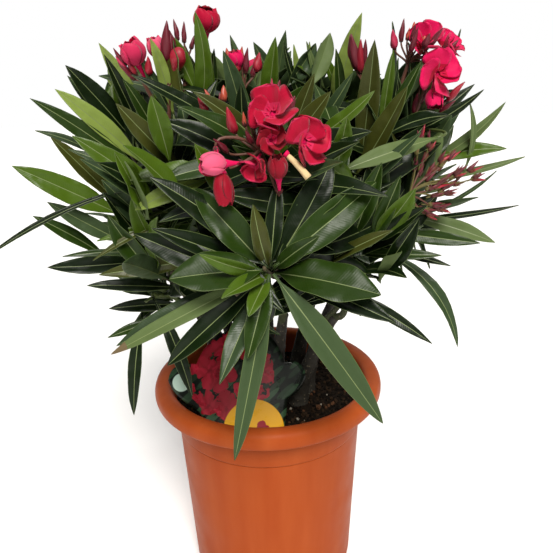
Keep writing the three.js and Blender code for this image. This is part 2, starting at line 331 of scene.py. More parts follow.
def unit(vector):
    """The vector at length one."""
    return vector / max(np.linalg.norm(vector), 1e-9)


def swung(vector, old, new):
    """A vector after the turn that takes one direction to another."""
    axis = np.cross(old, new)
    return vector + np.cross(axis, vector) + np.cross(axis, np.cross(axis, vector)) / (1 + old @ new)


def square_to(vector, direction):
    """The unit part of a vector that is square to a unit direction."""
    rest = vector - direction * (vector @ direction)
    if np.linalg.norm(rest) < 1e-4:
        rest = np.cross(direction, (0.31, 0.87, 0.38))
    return unit(rest)


def bezier(start, bend, end, steps):
    """Points along a quadratic curve."""
    start, bend, end = np.array(start), np.array(bend), np.array(end)
    t = np.linspace(0, 1, steps)[:, None]
    return (1 - t) ** 2 * start + 2 * t * (1 - t) * bend + t**2 * end


def round_angles(sides):
    """Angles evenly round a circle."""
    return np.linspace(0, 2 * math.pi, sides, endpoint=False)


def between(start, end, turn):
    """A direction turned from one direction towards another that is square to it."""
    return start * math.cos(turn) + end * math.sin(turn)


def sweep(path, across, raised):
    """Rings about a path. across and raised are tables of ring points: sideways and upwards of it."""
    ways = np.gradient(path, axis=0)
    ways /= np.linalg.norm(ways, axis=1, keepdims=True)
    rings = np.empty((*across.shape, 3))
    side = square_to(np.array((1.0, 0.13, 0.07)), ways[0])
    for i, way in enumerate(ways):
        side = square_to(side, way)
        over = np.cross(way, side)
        rings[i] = path[i] + across[i][:, None] * side + raised[i][:, None] * over
    return rings


def square_pair(towards, way):
    """Two directions square to a way and to each other, the first leaning to a given one."""
    side = square_to(towards, way)
    return side, np.cross(way, side)


def tube(path, radii, sides):
    """Round rings about a path. radii has one radius for each ring, or a row of them round it."""
    angles = round_angles(sides)
    radii = np.reshape(radii, (len(path), -1))
    return sweep(path, radii * np.cos(angles), radii * np.sin(angles))


def corners_of(node):
    """A CAD node's corners, in the row frame."""
    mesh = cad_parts[node].data
    found = np.empty(len(mesh.vertices) * 3, np.float32)
    mesh.vertices.foreach_get("co", found)
    return np.unique(found.reshape(-1, 3).round(6), axis=0).astype(float)


def middle_of(node):
    """The middle of a CAD node's box."""
    low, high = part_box(node)
    return np.array((low + high) / 2)


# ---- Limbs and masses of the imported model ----


class Limb:
    """A packed stem or bough as a smooth centre line with a radius, running outwards from its foot."""

    def __init__(self, node, foot):
        corners = corners_of(node)
        middle = corners.mean(0)
        way = np.linalg.svd(corners - middle)[2][0]
        if (corners[np.argmin(np.linalg.norm(corners - foot, axis=1))] - middle) @ way > 0:
            way = -way
        along = (corners - middle) @ way
        self.low, self.high = along.min(), along.max()
        self.middle, self.way = middle, way
        off = corners - middle - np.outer(along, way)
        self.bends = np.polyfit(along, off, 3 if np.ptp(along) > 60 * MM else 2)
        apart = np.linalg.norm(off - self.offset(along), axis=1)
        self.taper = np.polyfit(along, apart, 1)

    def offset(self, along):
        """How far the centre line stands off the straight line, at each place along it."""
        powers = np.vander(np.atleast_1d(along), len(self.bends))
        return powers @ self.bends

    def along(self, start, end, steps):
        """Points on the centre line and radii there. start and end are shares of its length, and may be
        past its ends."""
        along = self.low + (self.high - self.low) * np.linspace(start, end, steps)
        inside = along.clip(self.low, self.high)
        beyond = (along - inside)[:, None] * self.heading(inside)
        path = self.middle + np.outer(inside, self.way) + self.offset(inside) + beyond
        return path, np.polyval(self.taper, inside)

    def heading(self, along):
        """Unit directions of the centre line."""
        step = 0.5 * MM
        rise = (self.offset(along + step) - self.offset(along - step)) / (2 * step)
        ways = self.way + rise
        return ways / np.linalg.norm(ways, axis=1, keepdims=True)


class Mass:
    """A packed mass of leaves as an ellipsoid along its shoots, and the corners that stand out of it."""

    def __init__(self, name):
        self.name = name
        self.corners = corners_of("mass_" + name)
        self.centre = np.median(self.corners, axis=0)
        self.way = unit(self.centre - HUB)
        along, apart = self.lie(self.corners)
        # For corners spread evenly over an ellipsoid, these shares of them lie this far out.
        self.length = np.percentile(np.abs(along), 80) / 0.8
        self.breadth = np.median(apart) / 0.866

    def lie(self, points):
        """How far points lie along the mass's shoots, and how far from their line."""
        offset = np.atleast_2d(points) - self.centre
        along = offset @ self.way
        return along, np.linalg.norm(offset - np.outer(along, self.way), axis=1)

    def reach(self, points):
        """How far out of the ellipsoid points lie: 1 is on it."""
        along, apart = self.lie(points)
        return np.hypot(along / self.length, apart / self.breadth)

    def outliers(self, least, apart, most):
        """The corners that stand out furthest, in clearly different directions."""
        out = self.reach(self.corners)
        found = []
        for i in np.argsort(-out):
            way = unit(self.corners[i] - self.centre)
            if out[i] < least or len(found) == most:
                break
            if all(way @ unit(other - self.centre) < math.cos(apart) for other in found):
                found.append(self.corners[i])
        return found


SOIL_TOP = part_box("soil")[1].z
POT_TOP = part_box("pot")[1].z
HUB = (SOIL_TOP + 45 * MM) * UP  # the shoots fan out from about here
STEM_NAMES = sorted(n[5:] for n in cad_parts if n.startswith("stem_"))
BOUGH_NAMES = sorted(n[6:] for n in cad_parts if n.startswith("bough_"))
MASSES = {n: Mass(n) for n in BOUGH_NAMES}
BOUGHS = {n: Limb("bough_" + n, SOIL_TOP * UP) for n in BOUGH_NAMES}
STEMS = {n: Limb("stem_" + n, np.zeros(3)) for n in STEM_NAMES}


def crown_reach(point):
    """How far a point lies out of the nearest mass of the crown: 1 is on its surface."""
    return min(mass.reach(point)[0] for mass in MASSES.values())


# ---- What a user would change ----


def sized(label, text, size):
    """A size in metres."""
    return bpy.props.FloatProperty(name=label, description=text, default=size, unit="LENGTH")


def angled(label, text, degrees):
    """An angle, given in degrees."""
    angle = math.radians(degrees)
    return bpy.props.FloatProperty(name=label, description=text, default=angle, unit="ROTATION")


def tinted(label, text, hex_colour):
    """A colour, given as sRGB hex."""
    return bpy.props.FloatVectorProperty(
        name=label, description=text, default=linear(hex_colour), subtype="COLOR", min=0, max=1
    )


class PotLook(bpy.types.PropertyGroup):
    """Sizes and colours of the pot, its soil and its tag."""

    crest_radius: sized("Crest radius", "Top of the rolled rim", 101 * MM)
    mouth_radius: sized("Mouth radius", "Where the roll turns down inside", 93 * MM)
    roll_drop: sized("Roll drop", "Height of the rolled rim", 16 * MM)
    band_drop: sized("Band drop", "From the crest to the band's lower edge", 45 * MM)
    band_radius: sized("Band radius", "Radius of the band under the roll", 91 * MM)
    band_step: sized("Band step", "How far the band stands proud", 1.4 * MM)
    foot_radius: sized("Foot radius", "Radius where the foot rounds in", 82 * MM)
    foot_round: sized("Foot round", "Radius of the foot's rounded edge", 10 * MM)
    wall: sized("Wall", "Thickness of the wall", 2 * MM)
    floor: sized("Floor", "Thickness of the floor", 4 * MM)
    crumb_count: bpy.props.IntProperty(name="Crumbs", description="Loose on the soil", default=1900)
    plastic: tinted("Plastic", "Terracotta-coloured plastic", "#9b431a")
    plastic_pale: tinted("Plastic, pale", "Where the plastic is scuffed", "#a44d22")
    peat: tinted("Peat", "Damp compost", "#0f0a06")
    peat_dry: tinted("Dry peat", "Compost that has dried", "#2c2015")
    print_ground: tinted("Print ground", "Dark green of the tag's print", "#0c130d")
    print_leaf: tinted("Print leaf", "Leaf green of the tag's print", "#38543a")
    print_flower: tinted("Print flower", "Red of the tag's printed flowers", "#8f1626")
    print_pink: tinted("Print pink", "Lit petals of the printed flowers", "#b8233a")
    print_heart: tinted("Print heart", "Middles of the printed flowers", "#7d1020")
    print_yellow: tinted("Print yellow", "Plain half disc on the tag", "#e2a822")
    print_pale: tinted("Print pale", "Plain round patch on the tag", "#b9d3c4")
    card_back: tinted("Card back", "Unprinted back of the tag", "#c9c9c2")
    bark_chip: tinted("Bark chips", "Bark in the compost", "#4a3120")
    mineral: tinted("Mineral specks", "Pale grains in the compost", "#8f877a")


class FoliageLook(bpy.types.PropertyGroup):
    """Sizes and colours of the leaves and the wood."""

    seed: bpy.props.IntProperty(name="Seed", description="Seed of the branching rule", default=11)
    leaf_length: sized("Leaf length", "A full-grown leaf", 112 * MM)
    leaf_width: sized("Leaf width", "A full-grown leaf, at its widest", 21 * MM)
    leaf_thickness: sized("Leaf thickness", "At the middle of the blade", 0.55 * MM)
    whorl_gap: sized("Whorl gap", "Between one whorl of leaves and the next", 15 * MM)
    # Deep green is partly the dark green of old leaves and partly painted shade: it is dealt to inner,
    # low and back leaves where the crown lies in shade.
    deep: tinted("Deep green", "Old leaves", "#0f1d07")
    mid: tinted("Mid green", "Full-grown leaves", "#22360a")
    # Cool green is partly the grey bloom of the leaves' wax and partly a painted sheen: it stands for the
    # soft grey reflection on glossy leaves.
    cool: tinted("Cool green", "Leaves with a grey bloom", "#314228")
    olive: tinted("Olive", "Leaves on sunny shoots", "#3c4016")
    fresh: tinted("Fresh green", "Leaves near the tips of shoots", "#445c13")
    # Yellow-green is partly the own colour of the youngest leaves and partly painted light on leaves that
    # face the key lamp.
    lit: tinted("Yellow-green", "The youngest leaves", "#7d9044")
    under: tinted("Underside", "The pale side of a leaf", "#394b2b")
    under_pale: tinted("Underside, pale", "The pale side of a young leaf", "#56673a")
    midrib: tinted("Midrib", "The rib on the upper side", "#6f7d4c")
    margin: tinted("Margin", "The thin pale edge", "#52632f")
    withered: tinted("Withered", "Dry brown leaf tips", "#695a40")
    bark_dark: tinted("Bark, dark", "Old bark", "#1a1812")
    bark_pale: tinted("Bark, pale", "Streaks of old bark", "#37332a")
    lenticel: tinted("Lenticel", "Corky spots on bark", "#655d4a")
    shoot_dark: tinted("Young bark, dark", "Green bark", "#272c16")
    shoot_pale: tinted("Young bark, pale", "Streaks of green bark", "#454c2c")
    twig: tinted("Twig", "Green twigs", "#4c5a27")
    twig_brown: tinted("Brown twig", "Older twigs", "#4a412b")


class FlowerLook(bpy.types.PropertyGroup):
    """Sizes and colours of the flowers and buds."""

    petal_length: sized("Petal length", "From the throat to the petal's edge", 17 * MM)
    petal_width: sized("Petal width", "At its widest", 23 * MM)
    bud_length: sized("Bud length", "A closed bud", 19 * MM)
    bud_radius: sized("Bud radius", "A closed bud", 3.2 * MM)
    stalk_radius: sized("Stalk radius", "A flower's own stalk", 1.0 * MM)
    crimson: tinted("Crimson", "Face of the petals", "#b00732")
    ruby: tinted("Ruby", "Shaded petals", "#8c0620")
    rose: tinted("Rose", "Towards the throat", "#d60a54")
    # Blush is the paler back of the petals, and also a painted highlight along the end of each crimson
    # petal.
    blush: tinted("Blush", "Backs of the petals", "#c62854")
    pale: tinted("Pale rose", "Backs of the palest petals", "#e0587a")
    cream: tinted("Cream", "Tube of an old flower", "#dbc08f")
    bud_dark: tinted("Bud", "Closed buds", "#641424")
    bud_red: tinted("Red bud", "Buds about to open", "#99162b")
    bud_pink: tinted("Pink bud", "Buds that show the backs of their petals", "#b02b4c")
    bud_orange: tinted("Orange bud", "Buds that catch the light", "#ad4a35")
    stalk: tinted("Stalk", "Flower stalks", "#5f3a2c")
    sepal: tinted("Sepal", "Sepals", "#4c1917")
    spent_stalk: tinted("Spent stalk", "Stalks of a finished truss", "#5d5526")
    spent_sepal: tinted("Spent sepal", "Dried sepals", "#5a2a17")


class StageLook(bpy.types.PropertyGroup):
    """The camera, floor and lights."""

    lens: bpy.props.FloatProperty(name="Lens", description="Focal length, mm", default=38.41)
    eye: bpy.props.FloatVectorProperty(
        name="Eye", description="Place of the camera", default=(0.0, -0.5176, 0.4930), unit="LENGTH"
    )
    pitch: angled("Pitch", "Look down", 19.49)
    yaw: angled("Yaw", "Look right", 1.23)
    roll: angled("Roll", "Tilt of the camera", -1.55)
    floor_radius: sized("Floor radius", "The floor is a disc", 6.0)
    floor_colour: tinted("Floor", "Pale floor", "#fafafa")


LOOKS = {
    "oleander_pot": PotLook,
    "oleander_foliage": FoliageLook,
    "oleander_flowers": FlowerLook,
    "oleander_stage": StageLook,
}


def look(name):
    """The scene's settings of one kind."""
    return getattr(bpy.context.scene, "oleander_" + name)


# ---- Pot, soil and tag ----


def lathe(outline, sides):
    """Rings of an outline of (radius, height) turned about the upright axis."""
    turn = round_angles(sides)
    radius, height = np.array(outline).T
    level = np.repeat(height[:, None], sides, 1)
    return np.stack([np.outer(radius, np.cos(turn)), np.outer(radius, np.sin(turn)), level], 2)


def pot_outline(pot):
    """From the edge of the flat underside, up the outside, over the roll and down the inside."""
    crown = POT_TOP
    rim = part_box("pot")[1].x
    edge = pot.band_radius
    band = crown - pot.band_drop
    under = crown - pot.roll_drop
    foot = pot.foot_radius - pot.foot_round
    neck = edge + 2.5 * MM
    lip = (pot.mouth_radius - 0.5 * MM, crown - 9 * MM)
    widest = (rim, crown - pot.roll_drop / 2)

    def slant(z):
        """The wall's outer radius at a height."""
        share = (z - pot.foot_round) / (band - pot.foot_round)
        return pot.foot_radius + share * (edge - pot.band_step - pot.foot_radius)

    def curve(a, b, c):
        """Points from a to c, without a."""
        return bezier(a, b, c, steps=9)[1:].tolist()

    groove = slant(band) - 0.7 * MM
    inner = slant(band) - pot.wall
    outline = [(foot * 0.5, 0.0), (foot, 0.0)]
    outline += curve((foot, 0.0), (pot.foot_radius, 0.0), (pot.foot_radius, pot.foot_round))
    wall_heights = np.linspace(pot.foot_round + 8 * MM, band - pot.band_step * 2, 14)
    outline += [(slant(z), z) for z in wall_heights]
    outline += [(slant(band) - 0.1 * MM, band - 2.2 * MM)]
    outline += [(groove, band - 1.5 * MM), (groove, band - 0.5 * MM)]
    outline += [(edge - 0.3 * MM, band - 0.3 * MM), (edge + 0.1 * MM, band + 0.3 * MM)]
    outline += [(edge + 0.2 * MM, band + 2 * MM), (neck - 0.4 * MM, under - 5 * MM)]
    outline += [(neck - 0.2 * MM, under - 4 * MM)]
    outline += curve((neck - 0.2 * MM, under - 4 * MM), (neck, under), (rim - 3 * MM, under))
    outline += curve((rim - 3 * MM, under), (rim + 0.6 * MM, under), widest)
    outline += curve(widest, (rim - 1 * MM, crown), (pot.crest_radius, crown))
    outline += curve((pot.crest_radius, crown), (pot.mouth_radius, crown), lip)
    outline += [(inner + 0.3 * MM, band), (pot.foot_radius - pot.wall, pot.foot_round)]
    outline += [(foot, pot.floor), (foot * 0.5, pot.floor)]
    return outline


def build_pot(pot):
    """The pot with its rolled rim."""
    lofts = Lofts()
    rings = lathe(pot_outline(pot), sides=160)
    lofts.add(rings, 0, first=np.zeros(3), last=pot.floor * UP)
    plastic = moulded_plastic("polypropylene_moulded_satin", pot.plastic, pot.plastic_pale)
    lofts.make("pot_shell", [plastic], "pot_plastic", ["pot"])


def ground_height(x, y):
    """The lie of the soil about its level, in metres: slow rolls and small lumps."""
    rolls = 1.6 * np.sin(x * 45 + 1.0) * np.cos(y * 52 - 0.6)
    lumps = 0.9 * np.sin(x * 210 + y * 90) * np.sin(y * 240 - x * 60 + 1.3)
    grit = 0.5 * np.sin(x * 900 + 2.0) * np.sin(y * 820 + x * 300)
    return (rolls + lumps + grit) * MM


def build_soil(pot):
    """Compost with a lumpy top, and loose crumbs lying on it."""
    wall = corners_of("soil")
    base = wall[:, 2].min()
    foot = np.hypot(*wall[wall[:, 2] < base + 1 * MM][:, :2].T).max()
    edge = np.hypot(*wall[wall[:, 2] > SOIL_TOP - 1 * MM][:, :2].T).max() - 0.4 * MM
    surface = SOIL_TOP - 1.5 * MM
    skirt = [(foot, base), (edge, SOIL_TOP - 4 * MM)]
    top = [(edge * share, surface) for share in np.linspace(1, 0.02, 60)]
    rings = lathe(skirt + top, sides=144)
    level = rings[len(skirt) :]
    level[..., 2] += ground_height(level[..., 0], level[..., 1])
    lofts = Lofts()
    lofts.add(rings, 0, first=base * UP)
    peat = damp_peat("peat_compost_damp", pot.peat, pot.peat_dry)
    lofts.make("soil_bed", [peat], "soil", ["soil"])

    rng = np.random.default_rng(CRUMB_SEED)
    crumbs = Lofts()
    kinds = [
        crumb("peat_crumb_damp", pot.peat),
        crumb("peat_crumb_dry", pot.peat_dry),
        crumb("bark_chip", pot.bark_chip),
        crumb("mineral_speck", pot.mineral),
    ]
    for _ in range(pot.crumb_count):
        radius = (edge - 3 * MM) * math.sqrt(rng.uniform())
        turn = rng.uniform(0, 2 * math.pi)
        size = rng.uniform(0.7, 2.6) * MM * (1.4 if rng.uniform() < 0.12 else 1.0)
        x, y = radius * math.cos(turn), radius * math.sin(turn)
        z = surface + ground_height(x, y) + size * 0.25
        way = unit(rng.normal(size=3))
        path = np.array((x, y, z)) + np.outer(np.array((-0.6, 0.0, 0.6)) * size, way)
        rings = tube(path, size * np.array((0.45, 0.75, 0.5)) * rng.uniform(0.7, 1.2, 3), 5)
        rings += rng.normal(size=rings.shape) * size * 0.12
        kind = rng.choice(4, p=(0.6, 0.3, 0.08, 0.02))
        crumbs.add(rings, kind)
    crumbs.make("soil_crumbs", kinds, "soil", smooth=False)


def printed_card(name, pot):
    """Glossy printed card: generic flowers on dark green, a plain yellow half disc and a round patch.
    Places and sizes are in mm on the card."""
    varnish = {"Specular IOR Level": 0.25, "Coat Weight": 0.06, "Coat Roughness": 0.15}
    material, add, shader = start_material(name, pot.print_ground, 0.3, more=varnish)
    names = ("ground", "leaf", "flower", "pink", "heart", "yellow", "pale")
    inks = [(*getattr(pot, "print_" + name), 1) for name in names]
    ground, leaf, crimson, pink, maroon, yellow, pale = inks
    place = add("UVMap", uv_map=SHAPE_MAP)

    def inside(value, edge, soft):
        """1 where a value is under an edge and 0 beyond it."""
        fade = {0: value, "From Min": edge - soft, "From Max": edge + soft, "To Min": 1.0, "To Max": 0.0}
        return add("MapRange", fade, interpolation_type="SMOOTHSTEP")

    def disc(middle, radius, where):
        """1 nearer to a point than the radius."""
        gap = add("VectorMath", {0: where, 1: (*middle, 0.0)}, operation="DISTANCE")
        return inside(gap, radius, 0.4)

    wander = add("TexNoise", {"Vector": place, "Scale": 0.09, "Detail": 2.0})
    shift = add("VectorMath", {0: wander.outputs[1], 1: (0.5,) * 3}, operation="SUBTRACT")
    ragged = add("VectorMath", {0: shift, 1: (18.0, 18.0, 0.0), 2: place}, operation="MULTIPLY_ADD")
    blade_lie = {"Vector": place, "Rotation": (0.0, 0.0, 0.7), "Scale": (24.0, 5.5, 1.0)}
    slanted = add("Mapping", blade_lie, vector_type="TEXTURE")
    blades = add("TexVoronoi", {"Vector": slanted, "Scale": 1.0}, voronoi_dimensions="2D")
    shade = add("SeparateColor", {0: blades.outputs["Color"]})
    leafy = add("Math", {0: inside(blades, 0.42, 0.05), 1: shade}, operation="MULTIPLY")
    leaves = add("Mix", {0: leafy, 6: ground, 7: leaf}, data_type="RGBA")
    flower_gap = 22.0
    scatter = {"Vector": ragged, "Scale": 1 / flower_gap, "Randomness": 0.85}
    cells = add("TexVoronoi", scatter, voronoi_dimensions="2D")
    offset = add("VectorMath", {0: ragged, 1: cells.outputs["Position"]}, operation="SUBTRACT")
    away = add("SeparateXYZ", {0: offset})
    tone = add("SeparateColor", {0: cells.outputs["Color"]})
    bearing = add("Math", {0: away.outputs[1], 1: away}, operation="ARCTAN2")
    start = add("Math", {0: tone, 1: 6.0}, operation="MULTIPLY")
    spun = add("Math", {0: bearing, 1: 2.5, 2: start}, operation="MULTIPLY_ADD")
    wave = add("Math", {0: spun}, operation="COSINE")
    lobes = add("Math", {0: wave}, operation="ABSOLUTE")
    rounded = add("Math", {0: lobes, 1: 0.5}, operation="POWER")
    petal_reach = add("Math", {0: rounded, 1: 0.4, 2: 0.3}, operation="MULTIPLY_ADD")
    past = add("Math", {0: cells, 1: petal_reach}, operation="SUBTRACT")
    petals = inside(past, 0.0, 0.02)
    ridges = add("Math", {0: lobes, 1: 2.0}, operation="POWER")
    brightness = add("Math", {0: tone.outputs[1], 1: 0.15}, operation="ADD")
    lit = add("Math", {0: ridges, 1: brightness}, operation="MULTIPLY")
    red = add("Mix", {0: lit, 6: crimson, 7: pink}, data_type="RGBA")
    flower = add("Mix", {0: inside(cells, 0.1, 0.06), 6: red, 7: maroon}, data_type="RGBA")
    bunch = add("Math", {0: petals, 1: disc((-34.0, 52.0), 39.0, ragged)}, operation="MULTIPLY")
    picture = add("Mix", {0: bunch, 6: leaves, 7: flower}, data_type="RGBA")
    patches = [
        (disc((-78.0, 46.0), 8.0, place), pale),
        (disc((-14.0, 2.0), 27.0, place), yellow),
        (disc((-6.0, 3.0), 5.0, ragged), red),
    ]
    for patch, ink in patches:
        picture = add("Mix", {0: patch, 6: picture, 7: ink}, data_type="RGBA")
    feed(shader, {"Base Color": picture})
    grain = add("TexNoise", {"Vector": place, "Scale": 0.6, "Detail": 2.0})
    uneven_gloss(add, shader, place, 12.0, 0.24, 0.4)
    raise_bump(add, shader, grain, 0.05 * MM, 0.3)
    return material


def plain_card(name, colour):
    """Bare uncoated card: white, matt and faintly fibrous."""
    material, add, shader = start_material(name, colour, 0.7)
    uneven_gloss(add, shader, add("TexCoord").outputs["Object"], 5 * MM, 0.6, 0.8)
    return material


def tag_outline():
    """The tag's edge in its own plane, in mm: across from the pot's middle and up its slope."""
    # Each stretch is where it bends towards, or None where it is straight, and where it ends.
    stretches = [
        (None, (17, 28)),
        ((35, 38), (34, 50)),
        ((31, 64), (15, 61)),
        ((8, 92), (-20, 93)),
        ((-52, 92), (-64, 62)),
        ((-88, 66), (-90, 48)),
        ((-86, 34), (-62, 20)),
        (None, (-50, -4)),
        (None, (12, -4)),
    ]
    here = stretches[-1][1]
    outline = []
    for bend, end in stretches:
        points = bezier(here, bend, end, 9) if bend else np.linspace(here, end, 7)
        outline.append(points[1:])
        here = end
    return np.concatenate(outline)


def build_tag(pot):
    """The picture tag: a thin card that bows back a little at its sides."""
    low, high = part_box("picture_tag")
    lean = math.atan2(high.y - low.y, high.z - low.z)
    edge = tag_outline()
    middle = np.array((-26.0, 42.0))
    thick = 0.7
    steps = 14
    shares = np.linspace(0.06, 1, steps)
    shares = np.concatenate([shares, shares[::-1]])
    flat = middle + shares[:, None, None] * (edge - middle)
    depth = np.repeat([0.0, thick], steps)[:, None]
    bow = 5.0 * ((flat[..., 0] - middle[0]) / 60) ** 2 + depth
    x, v = flat[..., 0], flat[..., 1]
    rings = np.stack(
        [
            x * MM,
            low.y + (v * math.sin(lean) + bow * math.cos(lean)) * MM,
            SOIL_TOP + (v * math.cos(lean) - bow * math.sin(lean)) * MM,
        ],
        2,
    )
    slots = np.zeros((len(shares) - 1, len(edge)), int)
    slots[steps - 1 :] = 1
    lofts = Lofts()
    lofts.add(rings, slots, measures=flat)
    sides = [printed_card("card_printed_gloss", pot), plain_card("card_uncoated_white", pot.card_back)]
    lofts.make("tag_printed", sides, "tag_card", ["picture_tag"])


# ---- Wood ----


def bark_rings(path, radii, seed, sides, scar_gap, relief):
    """A limb's skin: slightly ribbed, swollen at its leaf scars, with low bumps."""
    turn = round_angles(sides)
    steps = np.linalg.norm(np.diff(path, axis=0), axis=1)
    along = np.concatenate([[0], np.cumsum(steps)])[:, None]
    phase = np.random.default_rng(seed).uniform(0, 2 * math.pi, 4)
    ribs = 0.035 * np.sin(3 * turn + phase[0] + along * 25) + 0.02 * np.sin(5 * turn + phase[1])
    to_scar = (along / scar_gap) % 1 - 0.5
    scars = 0.10 * np.exp(-((to_scar / 0.09) ** 2)) * (0.6 + 0.4 * np.cos(3 * turn + phase[2]))
    bumps = 0.018 * np.sin(11 * turn + along * 900 + phase[3]) * np.sin(along * 1400)
    grown = 1 + relief * (ribs + scars + bumps)
    return tube(path, radii[:, None] * grown, sides)


def build_stems(leaf):
    """Each stem's bark, from its flare at the soil to its fork."""
    skin = bark("oleander_bark_old", leaf.bark_dark, leaf.bark_pale, leaf.lenticel)
    for seed, (name, limb) in enumerate(STEMS.items(), STEM_SEED):
        path, radii = limb.along(0.0, 1.0, 84)
        path[0, 2] = SOIL_TOP - 3 * MM
        rise = (path[:, 2] - SOIL_TOP).clip(0)
        flare = 1 + 0.3 * np.exp(-rise / (9 * MM))
        lofts = Lofts()
        lofts.add(bark_rings(path, radii * flare, seed, sides=22, scar_gap=19 * MM, relief=1.0), 0)
        lofts.make("bark_stem_" + name, [skin], "bark", ["stem_" + name])


def build_boughs(leaf):
    """Each bough's bark, from inside its stem to where it forks among the leaves."""
    skin = bark("oleander_bark_young", leaf.shoot_dark, leaf.shoot_pale, leaf.lenticel)
    for seed, (name, limb) in enumerate(BOUGHS.items(), BOUGH_SEED):
        path, radii = limb.along(-0.1, 1.05, 46)
        lofts = Lofts()
        lofts.add(bark_rings(path, radii, seed, sides=16, scar_gap=15 * MM, relief=0.8), 0)
        lofts.make("bark_bough_" + name, [skin], "young_bark", ["bough_" + name])


# ---- Leaves ----

# DEEP is partly painted shade, COOL partly a painted sheen and LIT partly painted light.
DEEP, MID, COOL, OLIVE, FRESH, LIT, UNDER, UNDER_PALE, MIDRIB, MARGIN, WITHERED = range(11)

# A blade's columns: margin, half way and rib on each side, then the same underneath.
COLUMN_SIDES = np.array((1, 1, 1, 1, -1, -1, -1, -1, -1, -1, -1, 1, 1, 1))
COLUMN_KINDS = "emhrrhmemhrrhm"  # edge, margin, half way, rib
BLADE_PARTS = "mttrttmuuuouuu"  # margin, upper face, rib, underside, and the underside's rib
UPPER = np.arange(14) < 7


def blade_columns(half, margin, rib):
    """How far out each column lies, as a share of the half breadth, row by row."""
    shares = {
        "e": np.ones_like(half),
        "m": 1 - (margin / half).clip(0.02, 0.05),
        "h": np.full_like(half, 0.5),
        "r": (rib / half).clip(0.02, 0.065),
    }
    return np.stack([shares[kind] for kind in COLUMN_KINDS], 1) * COLUMN_SIDES


def blade_rows(fine):
    """How far along a leaf its rings lie: closer together near its ends."""
    t = np.linspace(0, 1, 24 if fine else 13)
    return 0.985 * (0.62 * t + 0.38 * (0.5 - 0.5 * np.cos(math.pi * t)))


def blade_breadth(u, widest, blunt):
    """A narrow leaf's half breadth as a share of the widest, from its stalk to its pointed tip."""
    stalk = 0.04
    inner = ((widest - u) / (widest - stalk)).clip(0, 1)
    outer = ((u - widest) / (1 - widest)).clip(0, 1)
    return np.where(u < widest, (1 - inner**2.0) ** 1.1, (1 - outer**2.25) ** blunt)


class Leaf:
    """One leaf's shape. Angles are in radians and sizes in metres."""

    sickle = 0.0  # how far it curves sideways
    twist = 0.0
    blunt = 1.0
    late = 1.3  # how much of the bow comes near the tip
    withered = 2.0  # share of its length where it turns brown
    fine = False

    def __init__(self, base, way, face, length, width, **shape):
        """shape holds the rest: bow, how far the tip curves back from the face; fold, how far the halves
        fold up from the midrib; wave and its phase; where it is widest; and tint, its green."""
        self.base, self.way = base, unit(way)
        self.face = square_to(face, self.way)
        self.length, self.width = length, width
        for name, value in shape.items():
            setattr(self, name, value)

    def spine(self):
        """Its rows, points, directions, side ways and faces."""
        u = blade_rows(self.fine)
        bent = self.bow * u**self.late
        swept = self.sickle * u
        side = np.cross(self.face, self.way)
        ways = np.outer(np.cos(bent) * np.cos(swept), self.way) - np.outer(np.sin(bent), self.face)
        ways += np.outer(np.cos(bent) * np.sin(swept), side)
        ways /= np.linalg.norm(ways, axis=1, keepdims=True)
        gaps = np.diff(u, prepend=0)[:, None] * self.length
        points = self.base + np.cumsum(gaps * ways, axis=0)
        faces = np.outer(np.cos(bent), self.face) + np.outer(np.sin(bent), self.way)
        sides = np.cross(faces, ways)
        sides /= np.linalg.norm(sides, axis=1, keepdims=True)
        faces = np.cross(ways, sides)
        turned = (self.twist * u)[:, None]
        spun_sides = sides * np.cos(turned) + faces * np.sin(turned)
        spun_faces = faces * np.cos(turned) - sides * np.sin(turned)
        return u, points, ways, spun_sides, spun_faces

    def reach_for(self, tip):
        """Turns and stretches the leaf so that, curved as it is, its tip comes to this point."""
        reached = self.spine()[1][-1] - self.base
        wanted = tip - self.base
        old, new = unit(reached), unit(wanted)
        self.way = swung(self.way, old, new)
        self.face = swung(self.face, old, new)
        self.length *= np.linalg.norm(wanted) / np.linalg.norm(reached)

    def skin(self, thickness):
        """Its rings, its tip and each ring point's place along and across, in mm."""
        u, points, ways, sides, faces = self.spine()
        half = self.width / 2 * blade_breadth(u, self.widest, self.blunt)
        stalk = 1.1 * MM * (1 - 0.6 * u)
        half = np.maximum(half, stalk)
        x = blade_columns(half, 0.35 * MM, 0.45 * MM * (1 - 0.6 * u))
        half = half[:, None]
        lift = np.abs(x)
        ripple = np.sin(2 * math.pi * (2.2 * u[:, None] + self.phase) + 1.1 * np.sign(x))
        height = half * (lift**1.3 * math.sin(self.fold) + self.wave * ripple * lift**2)
        if self.fine:
            puckers = np.sin(2 * math.pi * u * self.length / (5.5 * MM))[:, None]
            height += 0.22 * MM * puckers * lift * (lift < 0.6)
        skin_side = np.where(UPPER, 1.0, -1.0) * (lift < 0.999)
        rib = np.where([kind == "r" for kind in COLUMN_KINDS], np.where(UPPER, -0.35, -1.3), 0.0)
        body = thickness * (0.5 * skin_side + rib * (1 - 0.5 * u[:, None]))
        plump = 1 + 2.2 * np.exp(-((u / 0.05) ** 2))[:, None]
        across = half * x * math.cos(self.fold)
        rings = points[:, None, :] + across[..., None] * sides[:, None, :]
        rings += (height + body * plump)[..., None] * faces[:, None, :]
        tip = points[-1] + ways[-1] * self.length * 0.015
        measures = np.stack(np.broadcast_arrays(u[:, None] * self.length / MM, half * x / MM), 2)
        return rings, tip, measures

    def slots(self):
        """Material numbers, ring by ring and column by column."""
        under = UNDER_PALE if self.tint in (FRESH, LIT) else UNDER
        part = {"m": MARGIN, "t": self.tint, "r": MIDRIB, "u": under, "o": MARGIN}
        row = np.array([part[p] for p in BLADE_PARTS])
        u = blade_rows(self.fine)
        table = np.tile(row, (len(u) - 1, 1))
        table[u[1:] > self.withered] = WITHERED
        return table


def put_leaf(lofts, leaf, thickness):
    """Adds one leaf to a piece."""
    rings, tip, measures = leaf.skin(thickness)
    lofts.add(rings, leaf.slots(), last=tip, measures=measures)


